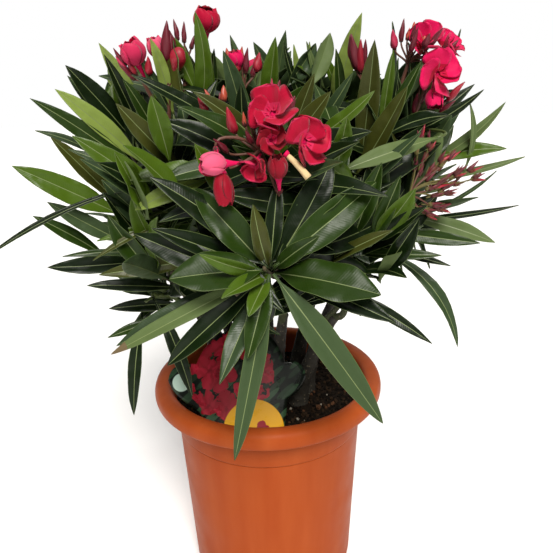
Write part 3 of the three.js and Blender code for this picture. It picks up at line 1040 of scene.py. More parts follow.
@functools.lru_cache(maxsize=None)
def leaf_materials():
    """The plain-coloured parts of a leaf, in the order of their numbers."""
    leaf = look("foliage")
    greens = ("deep", "mid", "cool", "olive", "fresh", "lit")
    tops = [waxed_leaf("leaf_waxed_" + name, getattr(leaf, name), 0.3, 0.44, 1.9) for name in greens]
    return tops + [
        waxed_leaf("leaf_back_green", leaf.under, 0.5, 0.68, 1.6),
        waxed_leaf("leaf_back_pale", leaf.under_pale, 0.5, 0.68, 1.6),
        green_stalk("leaf_midrib", leaf.midrib, 0.5),
        green_stalk("leaf_margin", leaf.margin, 0.5),
        waxed_leaf("leaf_withered_dry", leaf.withered, 0.7, 0.9, 1.9),
    ]


# ---- The branching rule ----

# Each bough's shoots: how many there are beside the leader, how strongly they turn up to the light,
# how long their leaves are beside a full-grown one, and which greens they are dealt.
# SHADED deals darker greens to the low, drooping masses as painted shade; SUNNY deals paler yellow-greens
# to the left masses, partly painted light.
SHADED = (DEEP, DEEP, MID, COOL, MID)
OPEN_GREEN = (MID, DEEP, COOL, MID, OLIVE, FRESH)
SUNNY = (FRESH, OLIVE, MID, LIT, FRESH, MID)
TOPMOST = (FRESH, MID, COOL, LIT, OLIVE, COOL)
GROWTH = {
    "front_rosette": (2, 0.0, 0.85, SHADED),
    "middle_front": (5, 0.1, 0.85, OPEN_GREEN),
    "front_right_low": (4, 0.0, 0.95, SHADED),
    "front_right": (5, 0.15, 0.95, OPEN_GREEN),
    "right": (5, 0.0, 1.0, OPEN_GREEN),
    "right_top": (5, 0.35, 0.95, OPEN_GREEN),
    "back_right_low": (3, 0.0, 1.0, SHADED),
    "back_right": (5, 0.15, 1.0, OPEN_GREEN),
    "back": (5, 0.0, 1.0, OPEN_GREEN),
    "back_top": (5, 0.3, 0.95, TOPMOST),
    "back_left_low": (3, 0.0, 1.0, SHADED),
    "back_left": (5, 0.15, 1.0, SUNNY),
    "left": (5, 0.05, 1.05, SUNNY),
    "left_top": (5, 0.25, 1.0, SUNNY),
    "left_drooping": (2, -0.4, 0.95, SHADED),
    "front_left_low": (4, 0.0, 0.95, SHADED),
    "front_left": (5, 0.15, 0.95, OPEN_GREEN),
    "top_left": (5, 0.35, 0.9, TOPMOST),
    "top_right": (5, 0.35, 0.9, TOPMOST),
}


class Shoot:
    """One leafy shoot: its centre line, its greens, how long its leaves are and where its light is."""

    def __init__(self, path, mass, greens, lengthen):
        self.path, self.greens, self.lengthen = path, greens, lengthen
        outward = unit(mass.way * (1, 1, 0))
        before = min(max(0.5 - mass.centre[1] / (100 * MM), 0.0), 1.0)
        self.light = unit(0.7 * UP + 0.6 * outward + 0.6 * before * FRONT)
        gaps = np.linalg.norm(np.diff(path, axis=0), axis=1)
        self.along = np.concatenate([[0], np.cumsum(gaps)])

    def at(self, distance):
        """The point this far along, and its direction."""
        step = 1.5 * MM
        places = (distance - step, distance, distance + step)
        behind, point, ahead = np.stack([np.interp(places, self.along, line) for line in self.path.T], 1)
        return point, unit(ahead - behind)


def grow_shoots(mass, limb, rng):
    """A bough forks into a leader and shoots round it, as an oleander's does below each old flower."""
    side_shoots, lift, lengthen, greens = GROWTH[mass.name]
    before, start = limb.along(0.8, 1.0, 2)[0]
    heading = unit(start - before)
    side, over = square_pair(UP + 0.1 * rng.normal(size=3), mass.way)
    phase = rng.uniform(0, 2 * math.pi)
    shoots = []
    for k in range(side_shoots + 1):
        turn = phase + 2 * math.pi * k / side_shoots
        leader = k == side_shoots
        spread = 0.0 if leader else rng.uniform(0.45, 0.62)
        forward = rng.uniform(0.2, 0.36) if leader else rng.uniform(-0.12, 0.2)
        ring = between(side, over, turn)
        end = mass.centre + mass.way * mass.length * forward + ring * mass.breadth * spread
        end = end + UP * lift * mass.breadth * 0.5
        bend = start + heading * np.linalg.norm(end - start) * 0.5
        path = bezier(start, bend, end, 16)
        path[4:-1] += rng.normal(size=3) * 0.8 * MM
        deal = [greens[i] for i in rng.permutation(len(greens))[:3]]
        shoots.append(Shoot(path, mass, deal, lengthen))
    return shoots


def settle(leaf, mass, low):
    """Whether a leaf keeps inside the crown and above a height, once it is turned in and shortened."""
    wanted, allowed = 1.12, 1.3  # how far out of the crown's surface its tip may come
    for _ in range(4):
        points = leaf.spine()[1]
        if crown_reach(points[-1]) < wanted and points[:, 2].min() > low:
            return True
        inward = unit(mass.centre + mass.way * mass.length * 0.9 - leaf.base)
        leaf.way = unit(leaf.way * 0.72 + inward * 0.28 + UP * (0.1 if points[:, 2].min() < low else 0))
        leaf.face = square_to(leaf.face, leaf.way)
        leaf.length *= 0.94
    points = leaf.spine()[1]
    return crown_reach(points[-1]) < allowed and points[:, 2].min() > low


def outward_side(direction):
    """Left or right, whichever a direction leans to."""
    return np.array((1.0 if direction[0] > 0 else -1.0, 0.0, 0.0))


def whorl_leaves(shoot, foliage, rng):
    """The leaves of one shoot, in whorls of three that turn by half a step from node to node."""
    total = shoot.along[-1]
    turn = rng.uniform(0, 2 * math.pi)
    distance, number = total, 0
    found = []
    while distance > 0.2 * total:
        point, way = shoot.at(distance)
        side, over = square_pair(UP, way)
        open_angle = math.radians(20 + 62 * (1 - math.exp(-number / 1.7)))
        size = shoot.lengthen * (0.6 + 0.45 * (1 - math.exp(-number / 1.1)))
        for k in range(3):
            angle = turn + 2 * math.pi * k / 3 + rng.normal() * 0.16
            outward = between(side, over, angle)
            spread = open_angle * rng.uniform(0.85, 1.15)
            direction = between(way, outward, spread)
            direction = unit(direction - UP * 0.04 * number)
            if direction @ FRONT > 0.6:
                direction = unit(direction + UP * 0.5 + outward_side(direction) * 0.4)
            inner_face = square_to(way, direction)
            upper_face = square_to(shoot.light, direction)
            to_light = rng.uniform(0.55, 0.95)
            face = inner_face * (1 - to_light) + upper_face * to_light
            length = foliage.leaf_length * size * rng.uniform(0.88, 1.16)
            tint = shoot.greens[int(rng.integers(3))]
            if number == 0 and rng.uniform() < 0.4:
                tint = FRESH
            # Painted shade: leaves low on the shoot, deep inside the crown, are mostly dealt the deep
            # green.
            shaded_share = (0.0, 0.25, 0.9)[min(number, 2)]
            if rng.uniform() < shaded_share:
                tint = DEEP
            leaf = Leaf(
                point + outward * 1.5 * MM,
                direction,
                face,
                length,
                foliage.leaf_width * (0.55 + 0.45 * min(size, 1.1)) * rng.uniform(0.88, 1.15),
                bow=rng.uniform(0.05, 0.3) + 0.1 * number,
                sickle=rng.normal() * 0.2,
                twist=rng.normal() * 0.3,
                fold=rng.uniform(0.12, 0.42) + 0.25 * math.exp(-number),
                wave=rng.uniform(0.03, 0.2),
                phase=rng.uniform(),
                widest=rng.uniform(0.42, 0.56),
                tint=tint,
                withered=0.93 if rng.uniform() < 0.03 else 2.0,
            )
            found.append(leaf)
        distance -= foliage.whorl_gap * (0.35 if number == 0 else rng.uniform(0.85, 1.2))
        turn += math.pi / 3
        number += 1
    return found


def aimed_leaf(base, tip, facing, breadth, bow, turned, tint, rng):
    """A leaf from one point to another, that bows away from its face like an arc."""
    direct = unit(tip - base)
    face = square_to(facing, direct)
    face = between(face, np.cross(face, direct), turned)
    start_way = between(direct, face, bow / 2)
    arc = np.linalg.norm(tip - base) * (bow / 2) / math.sin(bow / 2)
    return Leaf(
        base,
        start_way,
        between(face, -direct, bow / 2),
        arc,
        breadth,
        bow=bow,
        late=1.0,
        fold=rng.uniform(0.2, 0.45),
        wave=rng.uniform(0.05, 0.2),
        phase=rng.uniform(),
        widest=rng.uniform(0.45, 0.56),
        tint=tint,
    )


def nearest_start(tip, shoots, length):
    """The place on these shoots from which a leaf of about this length reaches a tip."""
    best = None
    for shoot in shoots:
        for distance in np.linspace(0.25, 1.0, 7) * shoot.along[-1]:
            point, way = shoot.at(distance)
            gap = np.linalg.norm(tip - point)
            cost = abs(gap - length) + 0.03 * (1 - way @ unit(tip - point))
            if best is None or cost < best[0]:
                best = (cost, point, gap, shoot)
    return best[1:]


def reaching_leaves(mass, shoots, foliage, rng):
    """Full-grown leaves that reach to the mass's outlying corners, where no best-showing leaf does."""
    clearance, shortest, longest = 32 * MM, 45 * MM, 1.5 * foliage.leaf_length
    found = []
    tips = np.array([leaf.spine()[1][-1] for leaves in shown_leaves().values() for leaf in leaves])
    for corner in mass.outliers(least=1.22, apart=math.radians(24), most=9):
        length = foliage.leaf_length * rng.uniform(0.9, 1.1)
        if len(tips) and np.linalg.norm(tips - corner, axis=1).min() < clearance:
            continue
        point, gap, shoot = nearest_start(corner, shoots, length)
        if not shortest < gap < longest:
            continue
        breadth = foliage.leaf_width * rng.uniform(0.75, 1.0) * min(1.0, gap / (90 * MM))
        tint = shoot.greens[int(rng.integers(3))]
        bow, turned = rng.uniform(0.2, 0.5), rng.normal() * 0.2
        found.append(aimed_leaf(point, corner, shoot.light, breadth, bow, turned, tint, rng))
    return found


# The leaves that show best in each mass: where their tips stand from the middle of the mass's box and
# their breadth and length, in mm, how they lean from upright as seen from the front and how far they
# curve sideways, in degrees, their bow in radians, and their green.
SHOWN = {
    "left_top": (
        ((-48, 8, 46), 20, 85, -34, 0, 0.3, DEEP),
        ((-50, -20, 28), 18, 92, -42, 10, 0.4, LIT),
        ((-67, -30, 22), 15, 105, -48, 10, 0.3, MID),
        ((-16, -2, 62), 15, 90, -20, 25, 0.3, LIT),
        ((-10, -15, 53), 13, 80, -17, 0, 0.3, DEEP),
        ((-52, 22, 38), 14, 70, -35, 0, 0.3, COOL),
    ),
    "left": (
        ((-53, 30, 70), 8, 70, -60, 20, 0.3, COOL),
        ((-32, 5, 66), 16, 85, -35, 0, 0.3, OLIVE),
        ((-64, -2, 45), 22, 95, -57, 5, 0.3, FRESH),
        ((-15, -8, 58), 12, 90, -66, 0, 0.3, COOL),
        ((-45, 10, 12), 17, 75, -52, 0, 0.2, UNDER),
        ((-61, 15, -1), 13, 75, -49, 0, 0.4, MID),
        ((-40, -25, -35), 17, 80, -87, -10, 0.5, DEEP),
    ),
    "front_left_low": (
        ((-107, -32, 15), 5, 135, -110, 22, 0.1, DEEP),
        ((-35, -2, -8), 14, 75, -92, 0, 0.5, OLIVE),
        ((-48, 8, -20), 12, 75, -80, 0, 0.4, DEEP),
        ((-33, -3, 19), 7, 60, -97, 10, 0.3, FRESH),
        ((-70, 26, -1), 6, 70, -85, 10, 0.3, MID),
        ((-35, -12, 7), 6, 70, -112, 15, 0.3, OLIVE),
        ((-22, 10, 66), 8, 45, -80, 15, 0.3, FRESH),
    ),
    "front_left": (
        ((-30, 28, 52), 11, 65, -22, 10, 0.3, MID),
        ((-31, 2, 36), 16, 70, -38, 0, 0.3, OLIVE),
        ((-4, -10, 41), 17, 50, -8, 0, 0.3, FRESH),
        ((-20, 46, 69), 10, 55, -22, 0, 0.2, COOL),
        ((-10, 44, 80), 12, 60, -10, 0, 0.2, LIT),
        ((-21, 16, 55), 12, 95, -57, 5, 0.4, DEEP),
    ),
    "middle_front": (
        ((-82, -14, -26), 14, 60, -108, 15, 0.9, LIT),
        ((-59, -16, -5), 15, 50, -97, 10, 0.4, MID),
        ((-47, -16, 43), 15, 75, -55, 20, 0.6, MID),
        ((-37, 2, 51), 13, 65, -48, 10, 0.5, OLIVE),
    ),
    "top_left": (
        ((-14, -18, 57), 16, 92, 8, 50, 0.3, FRESH),
        ((-7, -4, 30), 10, 60, 0, 0, 0.3, FRESH),
        ((6, -24, 29), 17, 75, -12, 10, 0.3, COOL),
        ((19, -54, 6), 13, 55, 0, 0, 0.3, DEEP),
        ((46, -16, 38), 16, 70, 9, 0, 0.2, FRESH),
        ((29, 36, 37), 13, 60, -25, 0, 0.3, COOL),
        ((-4, 20, 32), 11, 60, 8, 0, 0.3, MID),
    ),
    "top_right": (
        ((-15, 4, 50), 8, 65, -22, -30, 0.2, DEEP),
        ((-6, 14, 48), 8, 60, -15, -15, 0.2, LIT),
        ((5, 14, 50), 9, 65, -20, -25, 0.3, UNDER_PALE),
        ((16, 14, 45), 10, 60, -25, 0, 0.3, FRESH),
        ((27, -10, 43), 11, 60, -5, 0, 0.3, MID),
        ((49, 0, 70), 18, 90, 14, 0, 0.2, LIT),
        ((4, -66, 25), 14, 60, 20, 0, 0.3, OLIVE),
        ((13, -90, 13), 16, 60, 36, 0, 0.3, OLIVE),
        ((34, -56, 25), 10, 60, 33, 15, 0.3, COOL),
        ((51, -50, 47), 19, 100, 2, 0, 0.2, OLIVE),
    ),
    "front_right": (
        ((6, -3, 53), 12, 60, 52, 15, 0.4, FRESH),
        ((30, 50, 80), 10, 75, 3, 0, 0.2, FRESH),
        ((36, 26, 54), 19, 80, 26, 15, 0.2, OLIVE),
        ((9, -22, 6), 16, 65, 15, 0, 0.3, MID),
        ((25, -12, -5), 14, 60, 16, 0, 0.3, MID),
        ((40, -4, 24), 10, 60, 40, 0, 0.3, COOL),
    ),
    "right_top": (
        ((-65, -98, -30), 14, 80, -104, 0, 0.3, UNDER_PALE),
        ((0, -50, 42), 10, 60, 25, 15, 0.3, MID),
        ((-11, -22, 45), 8, 65, 5, 0, 0.2, COOL),
    ),
    "right": (
        ((22, -28, 76), 10, 90, 62, 45, 0.2, DEEP),
        ((46, -14, 65), 11, 95, 52, 50, 0.2, UNDER_PALE),
        ((14, -24, 66), 6, 60, -5, 40, 0.1, UNDER_PALE),
        ((49, -18, 29), 14, 75, 78, -10, 0.2, FRESH),
        ((67, -14, 21), 7, 85, 75, 15, 0.2, UNDER_PALE),
        ((60, -28, -17), 6, 95, 80, 15, 0.2, DEEP),
        ((40, -36, -46), 15, 80, 106, 0, 0.3, UNDER_PALE),
        ((22, -50, -42), 13, 80, 95, 0, 0.3, MID),
        ((-5, -34, 58), 13, 55, 70, -15, 0.2, DEEP),
        ((46, -10, 9), 4, 70, 55, 30, 0.2, COOL),
    ),
    "front_right_low": (
        ((40, 0, -9), 9, 75, 103, 0, 0.3, DEEP),
        ((51, -2, -80), 12, 105, 140, -60, 0.3, COOL),
        ((23, -20, -68), 11, 85, 120, -10, 0.2, DEEP),
        ((-19, -50, 36), 11, 65, 58, 10, 0.4, OLIVE),
        ((30, -6, 2), 10, 70, 88, 0, 0.3, MID),
    ),
    "left_drooping": (
        ((-16, -13, -72), 13, 95, -172, 0, 0.3, DEEP),
        ((41, -39, -40), 13, 90, 160, 0, 0.3, DEEP),
        ((-27, -8, 29), 13, 60, -85, 0, 0.3, DEEP),
        ((-30, -12, 4), 11, 70, -100, 10, 0.3, MID),
    ),
}


@functools.lru_cache(maxsize=None)
def all_shoots():
    """Every mass's shoots, by name, from the one seed."""
    seed = look("foliage").seed
    return {
        name: grow_shoots(mass, BOUGHS[name], np.random.default_rng((seed, 1, index)))
        for index, (name, mass) in enumerate(MASSES.items())
    }


@functools.lru_cache(maxsize=None)
def shown_leaves():
    """The best-showing leaves of each mass, turned to the front and the light."""
    rng = np.random.default_rng((look("foliage").seed, 2))
    found = {}
    for name, rows in SHOWN.items():
        middle = middle_of("mass_" + name)
        found[name] = []
        for place, breadth, length, lean, sickle, bow, tint in rows:
            tip = middle + np.array(place) * MM
            lean = math.radians(lean)
            way = unit(np.array((math.sin(lean), 0.0, math.cos(lean))) + 0.3 * FRONT)
            facing = unit(0.75 * FRONT + 0.5 * UP)
            turned = rng.normal() * 0.15
            base = tip - way * length * MM
            leaf = aimed_leaf(base, tip, facing, breadth * MM, bow, turned, tint, rng)
            leaf.sickle = math.radians(sickle + 6 * rng.normal())
            leaf.reach_for(tip)
            found[name].append(leaf)
    return found


@functools.lru_cache(maxsize=None)
def side_twigs():
    """Short twigs that carry the best-showing leaves, each from the nearest shoot of its mass."""
    found = []
    for name, leaves in shown_leaves().items():
        for leaf in leaves:
            point, gap, _ = nearest_start(leaf.base, all_shoots()[name], 0.0)
            bend = leaf.base - leaf.way * 0.45 * gap
            found.append(bezier(point, bend, leaf.base + leaf.way * 1 * MM, 7))
    return found


@functools.lru_cache(maxsize=None)
def clear_rooms():
    """Rooms that grown leaves keep out of: before the rosette, open flowers and best-showing leaves."""
    rooms = [(rosette_heart(), unit(np.array((0.0, -0.92, 0.4))), 60 * MM, 110 * MM)]
    rooms += flower_rooms()
    for leaf in (leaf for leaves in shown_leaves().values() for leaf in leaves):
        _, points, _, _, faces = leaf.spine()
        for share in (0.4, 0.65, 0.9):
            row = int(share * (len(points) - 1))
            rooms.append((points[row], unit(faces[row] + FRONT), 0.4 * leaf.width, 60 * MM))
    middles, ways, radii, depths = (np.array(column) for column in zip(*rooms))
    return middles, ways, radii, depths


def in_the_open(leaf):
    """Whether a leaf keeps out of all those rooms."""
    middles, ways, radii, depths = clear_rooms()
    offset = leaf.spine()[1][:, None, :] - middles
    ahead = (offset * ways).sum(2)
    aside = np.linalg.norm(offset - ahead[..., None] * ways, axis=2)
    return not ((ahead > 1 * MM) & (ahead < depths) & (aside < radii)).any()


@functools.lru_cache(maxsize=None)
def grown():
    """Every mass's shoots and leaves, by name."""
    foliage = look("foliage")
    found = {}
    for index, (name, mass) in enumerate(MASSES.items()):
        rng = np.random.default_rng((foliage.seed, 3, index))
        shoots = all_shoots()[name]
        leaves = list(shown_leaves().get(name, ()))
        leaves += [leaf for leaf in reaching_leaves(mass, shoots, foliage, rng) if in_the_open(leaf)]
        low = POT_TOP + 14 * MM
        for shoot in shoots:
            for leaf in whorl_leaves(shoot, foliage, rng):
                if settle(leaf, mass, low) and in_the_open(leaf):
                    leaves.append(leaf)
        found[name] = (shoots, leaves)
    return found


# ---- The front rosette ----

# The rosette's leaves: where their tips stand from its heart, in mm (right, back, up), their breadth in
# mm, their bow, their twist and the turn of their face in radians, and their green.
ROSETTE = (
    ("right_broad", (71, -14, -15), 31, 0.35, 0.0, 0.1, MID),
    ("left_broad", (-65, -12, 0), 31, 0.30, 0.0, -0.1, MID),
    ("upper_left", (-49, 22, 51), 24, 0.40, 0.1, 0.3, MID),
    ("upper_right", (75, 32, 50), 24, 0.45, 0.1, -0.4, MID),
    ("small_right", (30, -22, 28), 12, 0.50, 0.3, -0.5, MID),
    ("curled_left", (-43, -24, 19), 11, 0.55, 0.2, 1.2, FRESH),
    ("curled_low", (-31, -26, -9), 13, 0.75, 0.6, 0.3, FRESH),
    ("oval_low", (-15, -26, -22), 13, 0.30, 0.0, 0.0, FRESH),
    ("hanging_mid", (-17, -22, -54), 16, 0.35, 0.1, 0.1, MID),
    ("hanging_long", (-29, -26, -130), 16, 0.30, 0.1, 0.2, UNDER),
    ("hanging_right", (75, -18, -110), 21, 0.25, 0.1, -0.1, UNDER),
    ("lower_left_long", (-110, -6, -55), 13, 0.20, 0.2, 0.2, UNDER_PALE),
    ("lower_left", (-73, -4, -66), 18, 0.30, 0.1, 0.2, DEEP),
    ("upright", (7, 26, 54), 13, 0.30, 0.2, 0.0, DEEP),
    ("olive_upper", (-10, 2, 43), 13, 0.90, 0.9, 0.4, OLIVE),
    # The leaves behind the rosette are deep green as painted shade.
    ("behind_left", (-30, 30, 24), 20, 0.30, 0.1, 0.2, DEEP),
    ("behind_right", (34, 34, 14), 20, 0.30, 0.1, -0.2, DEEP),
    ("behind_low", (-6, 22, -50), 18, 0.30, 0.1, 0.0, DEEP),
)


def rosette_heart():
    """Where the front rosette's leaves spring from: just outside the front of its mass's middle."""
    mass = MASSES["front_rosette"]
    return mass.centre + np.array((4.0, -4.0, 4.0)) * MM


def build_rosette(foliage):
    """The front rosette and the long leaves that hang from it."""
    heart = rosette_heart()
    rng = np.random.default_rng(ROSETTE_SEED)
    lofts = Lofts()
    facing = unit(np.array((0.0, -0.9, 0.44)))
    for name, tip, breadth, bow, twist, turned, tint in ROSETTE:
        reach = np.array(tip) * MM
        outward = square_to(reach, facing)
        base = heart + outward * 3 * MM - facing * rng.uniform(2, 16) * MM
        to_light = facing * 0.8 + UP * 0.35
        leaf = aimed_leaf(base, heart + reach, to_light, breadth * MM, bow, turned, tint, rng)
        leaf.twist = twist
        leaf.widest = 0.42 if name.startswith("hanging") else 0.5
        leaf.blunt = 0.85
        leaf.withered = 0.9 if name == "lower_left_long" else 2.0
        leaf.fine = True
        put_leaf(lofts, leaf, foliage.leaf_thickness)
    nodes = ["mass_front_rosette", "mass_front_drooping_right", "mass_front_drooping_middle"]
    lofts.make("leaves_rosette", leaf_materials(), "leaf", nodes)


def build_foliage(foliage):
    """Every mass as twigs and leaves."""
    twigs = Lofts()
    rng = np.random.default_rng(foliage.seed)
    for name, (shoots, leaves) in grown().items():
        lofts = Lofts()
        for leaf in leaves:
            put_leaf(lofts, leaf, foliage.leaf_thickness)
        nodes = [] if name == "front_rosette" else ["mass_" + name]
        lofts.make("leaves_" + name, leaf_materials(), "leaf", nodes)
        for shoot in shoots:
            radii = np.linspace(2.1, 1.2, len(shoot.path)) * MM
            turn = round_angles(9)
            nodes_up = 1 + 0.16 * np.cos(2 * math.pi * shoot.along / foliage.whorl_gap)[:, None] ** 8
            size = radii[:, None] * nodes_up * (1 + 0.05 * np.cos(3 * turn))
            twigs.add(tube(shoot.path, size, 9), int(rng.integers(2)))
    for path in side_twigs():
        twigs.add(tube(path, np.linspace(1.5, 1.0, len(path)) * MM, 8), 0)
    skins = [
        green_stalk("twig_green_waxed", foliage.twig, 0.55),
        green_stalk("twig_brown_matt", foliage.twig_brown, 0.7),
    ]
    twigs.make("twigs", skins, "young_bark")


# ---- Flowers ----

CRIMSON, RUBY, ROSE, BLUSH, PALE, CREAM = range(6)
# BUD_ORANGE is painted light: the colour of a bud where light catches it.
BUD_DARK, BUD_RED, BUD_PINK, BUD_ORANGE = range(4)
STALK, SEPAL, SPENT_STALK, SPENT_SEPAL = range(4)
PETAL_THICKNESS = 0.44 * MM

class Truss(typing.NamedTuple):
    """A head of flowers, with its foot and its fork in mm from the middle of the box of a mass.

    A flower is its place, the way it faces, its size, how open it is in degrees, and its colour. A shown
    bud is the place of its tip, its length and radius in mm, and its colour. Other buds stand round the
    fork, spread so wide in radians and up to so high in mm.
    """

    mass: str
    foot: tuple
    fork: tuple
    flowers: tuple = ()
    shown: tuple = ()
    buds: int = 0
    spread: float = 0.8
    height: float = 20


TRUSSES = {
    "front": Truss(
        "middle_front", (4, -6, -26), (6, -26, 12), buds=3, height=18,
        flowers=(
            ((16, -34, 38), (-0.25, -0.8, 0.5), 0.95, 54, CRIMSON),
            ((35, -40, 21), (0.45, -0.85, 0.2), 0.95, 56, CRIMSON),
            ((4, -42, 9), (-0.35, -0.75, -0.45), 0.66, 36, CRIMSON),
            ((14, -40, 22), (0.1, -0.8, 0.3), 0.6, 50, RUBY),
            ((18, -45, 0), (-0.05, -0.35, 1.0), 0.86, 0, RUBY),
            ((-17, -45, 9), (-0.95, -0.35, 0.05), 0.92, 8, PALE),
            ((-19, -45, 2), (0.15, -0.3, -0.95), 1.2, -18, RUBY),
        ),
        shown=(
            ((-15, -26, 42), 18, 3.6, BUD_RED), ((-4, -26, 39), 9, 1.5, BUD_ORANGE),
            ((0, -28, 40), 10, 1.4, BUD_DARK), ((3, -27, 36), 8, 1.4, BUD_ORANGE),
            ((-22, -40, 25), 15, 2.1, BUD_DARK), ((-22, -44, 11), 12, 2.4, BUD_RED),
            ((21, -8, 58), 10, 2.1, BUD_DARK), ((17, -8, 59), 10, 1.4, BUD_PINK),
            ((31, -18, 48), 13, 3.0, BUD_DARK),
        ),
    ),
    "behind_front": Truss(
        "middle_front", (-16, 12, 12), (-22, 15, 32),
        shown=(
            ((-30, 13, 53), 14, 2.4, BUD_ORANGE), ((-18, 13, 55), 11, 2.7, BUD_ORANGE),
            ((-21, 15, 50), 15, 2.4, BUD_DARK), ((-36, 9, 49), 13, 3.4, BUD_RED),
        ),
    ),
    "right": Truss(
        "right_top", (-9, -12, 12), (-1, -15, 42), buds=3, spread=0.5,
        flowers=(
            ((12, -16, 55), (-0.2, -0.75, 0.6), 0.95, 50, ROSE),
            ((28, -14, 52), (0.5, -0.6, 0.55), 0.8, 46, ROSE),
        ),
        shown=(
            ((-7, -14, 75), 17, 2.3, BUD_DARK), ((-15, -16, 67), 15, 3.2, BUD_PINK),
            ((-2, -16, 68), 9, 1.6, BUD_ORANGE), ((1, -32, 67), 20, 2.5, BUD_DARK),
            ((10, -36, 62), 11, 2.8, BUD_DARK), ((19, -34, 67), 16, 2.3, BUD_DARK),
            ((38, -18, 58), 10, 2.0, BUD_DARK), ((35, -18, 47), 8, 1.8, BUD_DARK),
        ),
    ),
    "right_low": Truss(
        "right_top", (0, -14, -24), (4, -24, 0),
        flowers=(
            ((18, -33, 33), (0.3, -0.9, 0.15), 1.0, 54, ROSE),
            ((16, -34, 20), (-0.05, -0.45, -0.95), 0.85, 8, ROSE),
        ),
        shown=(
            ((43, -22, 27), 20, 3.0, BUD_RED), ((34, -30, 13), 18, 2.4, BUD_DARK),
            ((6, -26, 18), 17, 3.1, BUD_DARK), ((12, -26, 22), 12, 1.9, BUD_DARK),
        ),
    ),
    "left": Truss(
        "top_left", (-42, -8, -26), (-39, -16, 6),
        flowers=(((-46, -10, 28), (-0.15, -0.2, 1.0), 0.85, 8, PALE),),
        shown=(
            ((-37, -20, 52), 30, 4.4, BUD_DARK), ((-42, -18, 38), 26, 3.4, BUD_RED),
            ((-33, -18, 42), 14, 2.2, BUD_DARK), ((-28, -23, 33), 23, 6.4, BUD_RED),
        ),
    ),
    "left_thin": Truss(
        "top_left", (-28, -8, 0), (-23, -10, 27),
        shown=(
            ((-31, -9, 54), 15, 2.1, BUD_DARK), ((-24, -10, 52), 15, 2.0, BUD_DARK),
            ((-17, -9, 42), 10, 1.7, BUD_DARK), ((-35, -14, 46), 13, 1.9, BUD_DARK),
        ),
    ),
    "left_low": Truss(
        "top_left", (-48, -10, -16), (-59, -22, 12),
        flowers=(((-60, -22, 23), (-0.32, -0.35, 1.0), 1.02, 20, BLUSH),),
        shown=(
            ((-77, -28, 33), 15, 2.0, BUD_DARK), ((-76, -28, 27), 14, 2.0, BUD_PINK),
            ((-73, -28, 23), 13, 1.8, BUD_DARK), ((-71, -28, 19), 12, 1.7, BUD_DARK),
            ((-51, -24, 27), 14, 3.2, BUD_RED), ((-68, -28, 26), 14, 2.2, BUD_RED),
        ),
    ),
    "high": Truss(
        "top_left", (-6, 8, 4), (-7, 4, 30),
        flowers=(((-8, 0, 46), (0.12, -0.35, 1.0), 1.0, 28, CRIMSON),),
    ),
    "top": Truss(
        "top_left", (20, -8, -22), (20, -10, 2),
        flowers=(((15, -8, 18), (-0.1, -0.25, 1.0), 0.75, 14, ROSE),),
        shown=(
            ((13, -10, 31), 18, 4.4, BUD_RED), ((19, -10, 33), 12, 2.2, BUD_ORANGE),
            ((7, -8, 32), 10, 2.4, BUD_ORANGE), ((23, -14, 32), 19, 2.6, BUD_DARK),
            ((34, -8, 28), 15, 4.0, BUD_RED), ((30, -8, 22), 12, 2.2, BUD_DARK),
        ),
    ),
    "top_right": Truss(
        "top_right", (48, -14, -10), (47, -22, 20),
        shown=(
            ((38, -27, 54), 28, 4.2, BUD_DARK), ((43, -28, 50), 26, 3.4, BUD_RED),
            ((35, -22, 53), 20, 2.8, BUD_DARK), ((49, -22, 50), 20, 2.6, BUD_DARK),
        ),
    ),
    "back": Truss(
        "back_top", (4, 10, 0), (6, 24, 26), buds=12,
        flowers=(
            ((-8, 42, 34), (-0.3, 0.8, 0.45), 0.95, 58, CRIMSON),
            ((20, 44, 28), (0.4, 0.8, 0.3), 0.9, 60, ROSE),
            ((4, 52, 18), (0.0, 0.95, 0.0), 0.7, 36, CRIMSON),
        ),
    ),
    "back_left": Truss(
        "back_left", (-14, 20, 16), (-24, 36, 34), buds=9,
        flowers=(((-34, 52, 38), (-0.5, 0.75, 0.4), 0.9, 56, CRIMSON),),
    ),
}
# A flower's tube that has dropped from the front truss, in mm from the middle of the same mass's box.
OLD_TUBE = ((24, -46, 13), (37, -49, -1))


def truss_origin(truss):
    """The middle of the box of the mass that a truss stands on."""
    return middle_of("mass_" + truss.mass)


@functools.lru_cache(maxsize=None)
def flower_rooms():
    """The room kept clear before each flower and shown bud: its middle, way, radius and depth."""
    rooms = []
    for truss in TRUSSES.values():
        for place, facing, size, spread, _ in truss.flowers:
            middle = truss_origin(truss) + np.array(place) * MM
            wide_open = spread > 28
            way = np.array(facing) if wide_open else FRONT + 0.4 * UP
            rooms.append((middle, unit(way), (17 if wide_open else 16) * MM * size, 90 * MM))
        for place, length, radius, _ in truss.shown:
            middle = truss_origin(truss) + np.array(place) * MM - UP * 0.4 * length * MM
            rooms.append((middle, unit(FRONT + 0.4 * UP), (5 + radius) * MM, 80 * MM))
    for place in SPENT_TIPS:
        tip = middle_of("mass_right") + np.array(place) * MM
        rooms.append((tip, unit(FRONT + 0.2 * UP), 11 * MM, 90 * MM))
    return rooms


def two_faced(columns):
    """Places across a petal's two faces, from 1 to -1 and back, and the side of each: 1, -1 or 0."""
    x = np.linspace(1, -1, columns)
    x = np.concatenate([x, x[-2:0:-1]])
    return x, np.where(np.arange(len(x)) < columns, 1.0, -1.0) * (np.abs(x) < 0.99)


def round_end(u):
    """The share of a petal's half breadth at each place along it, as it closes to its rounded end."""
    return np.sqrt((1 - ((u - 0.66) / 0.345).clip(0, 1) ** 2).clip(0.02, 1))


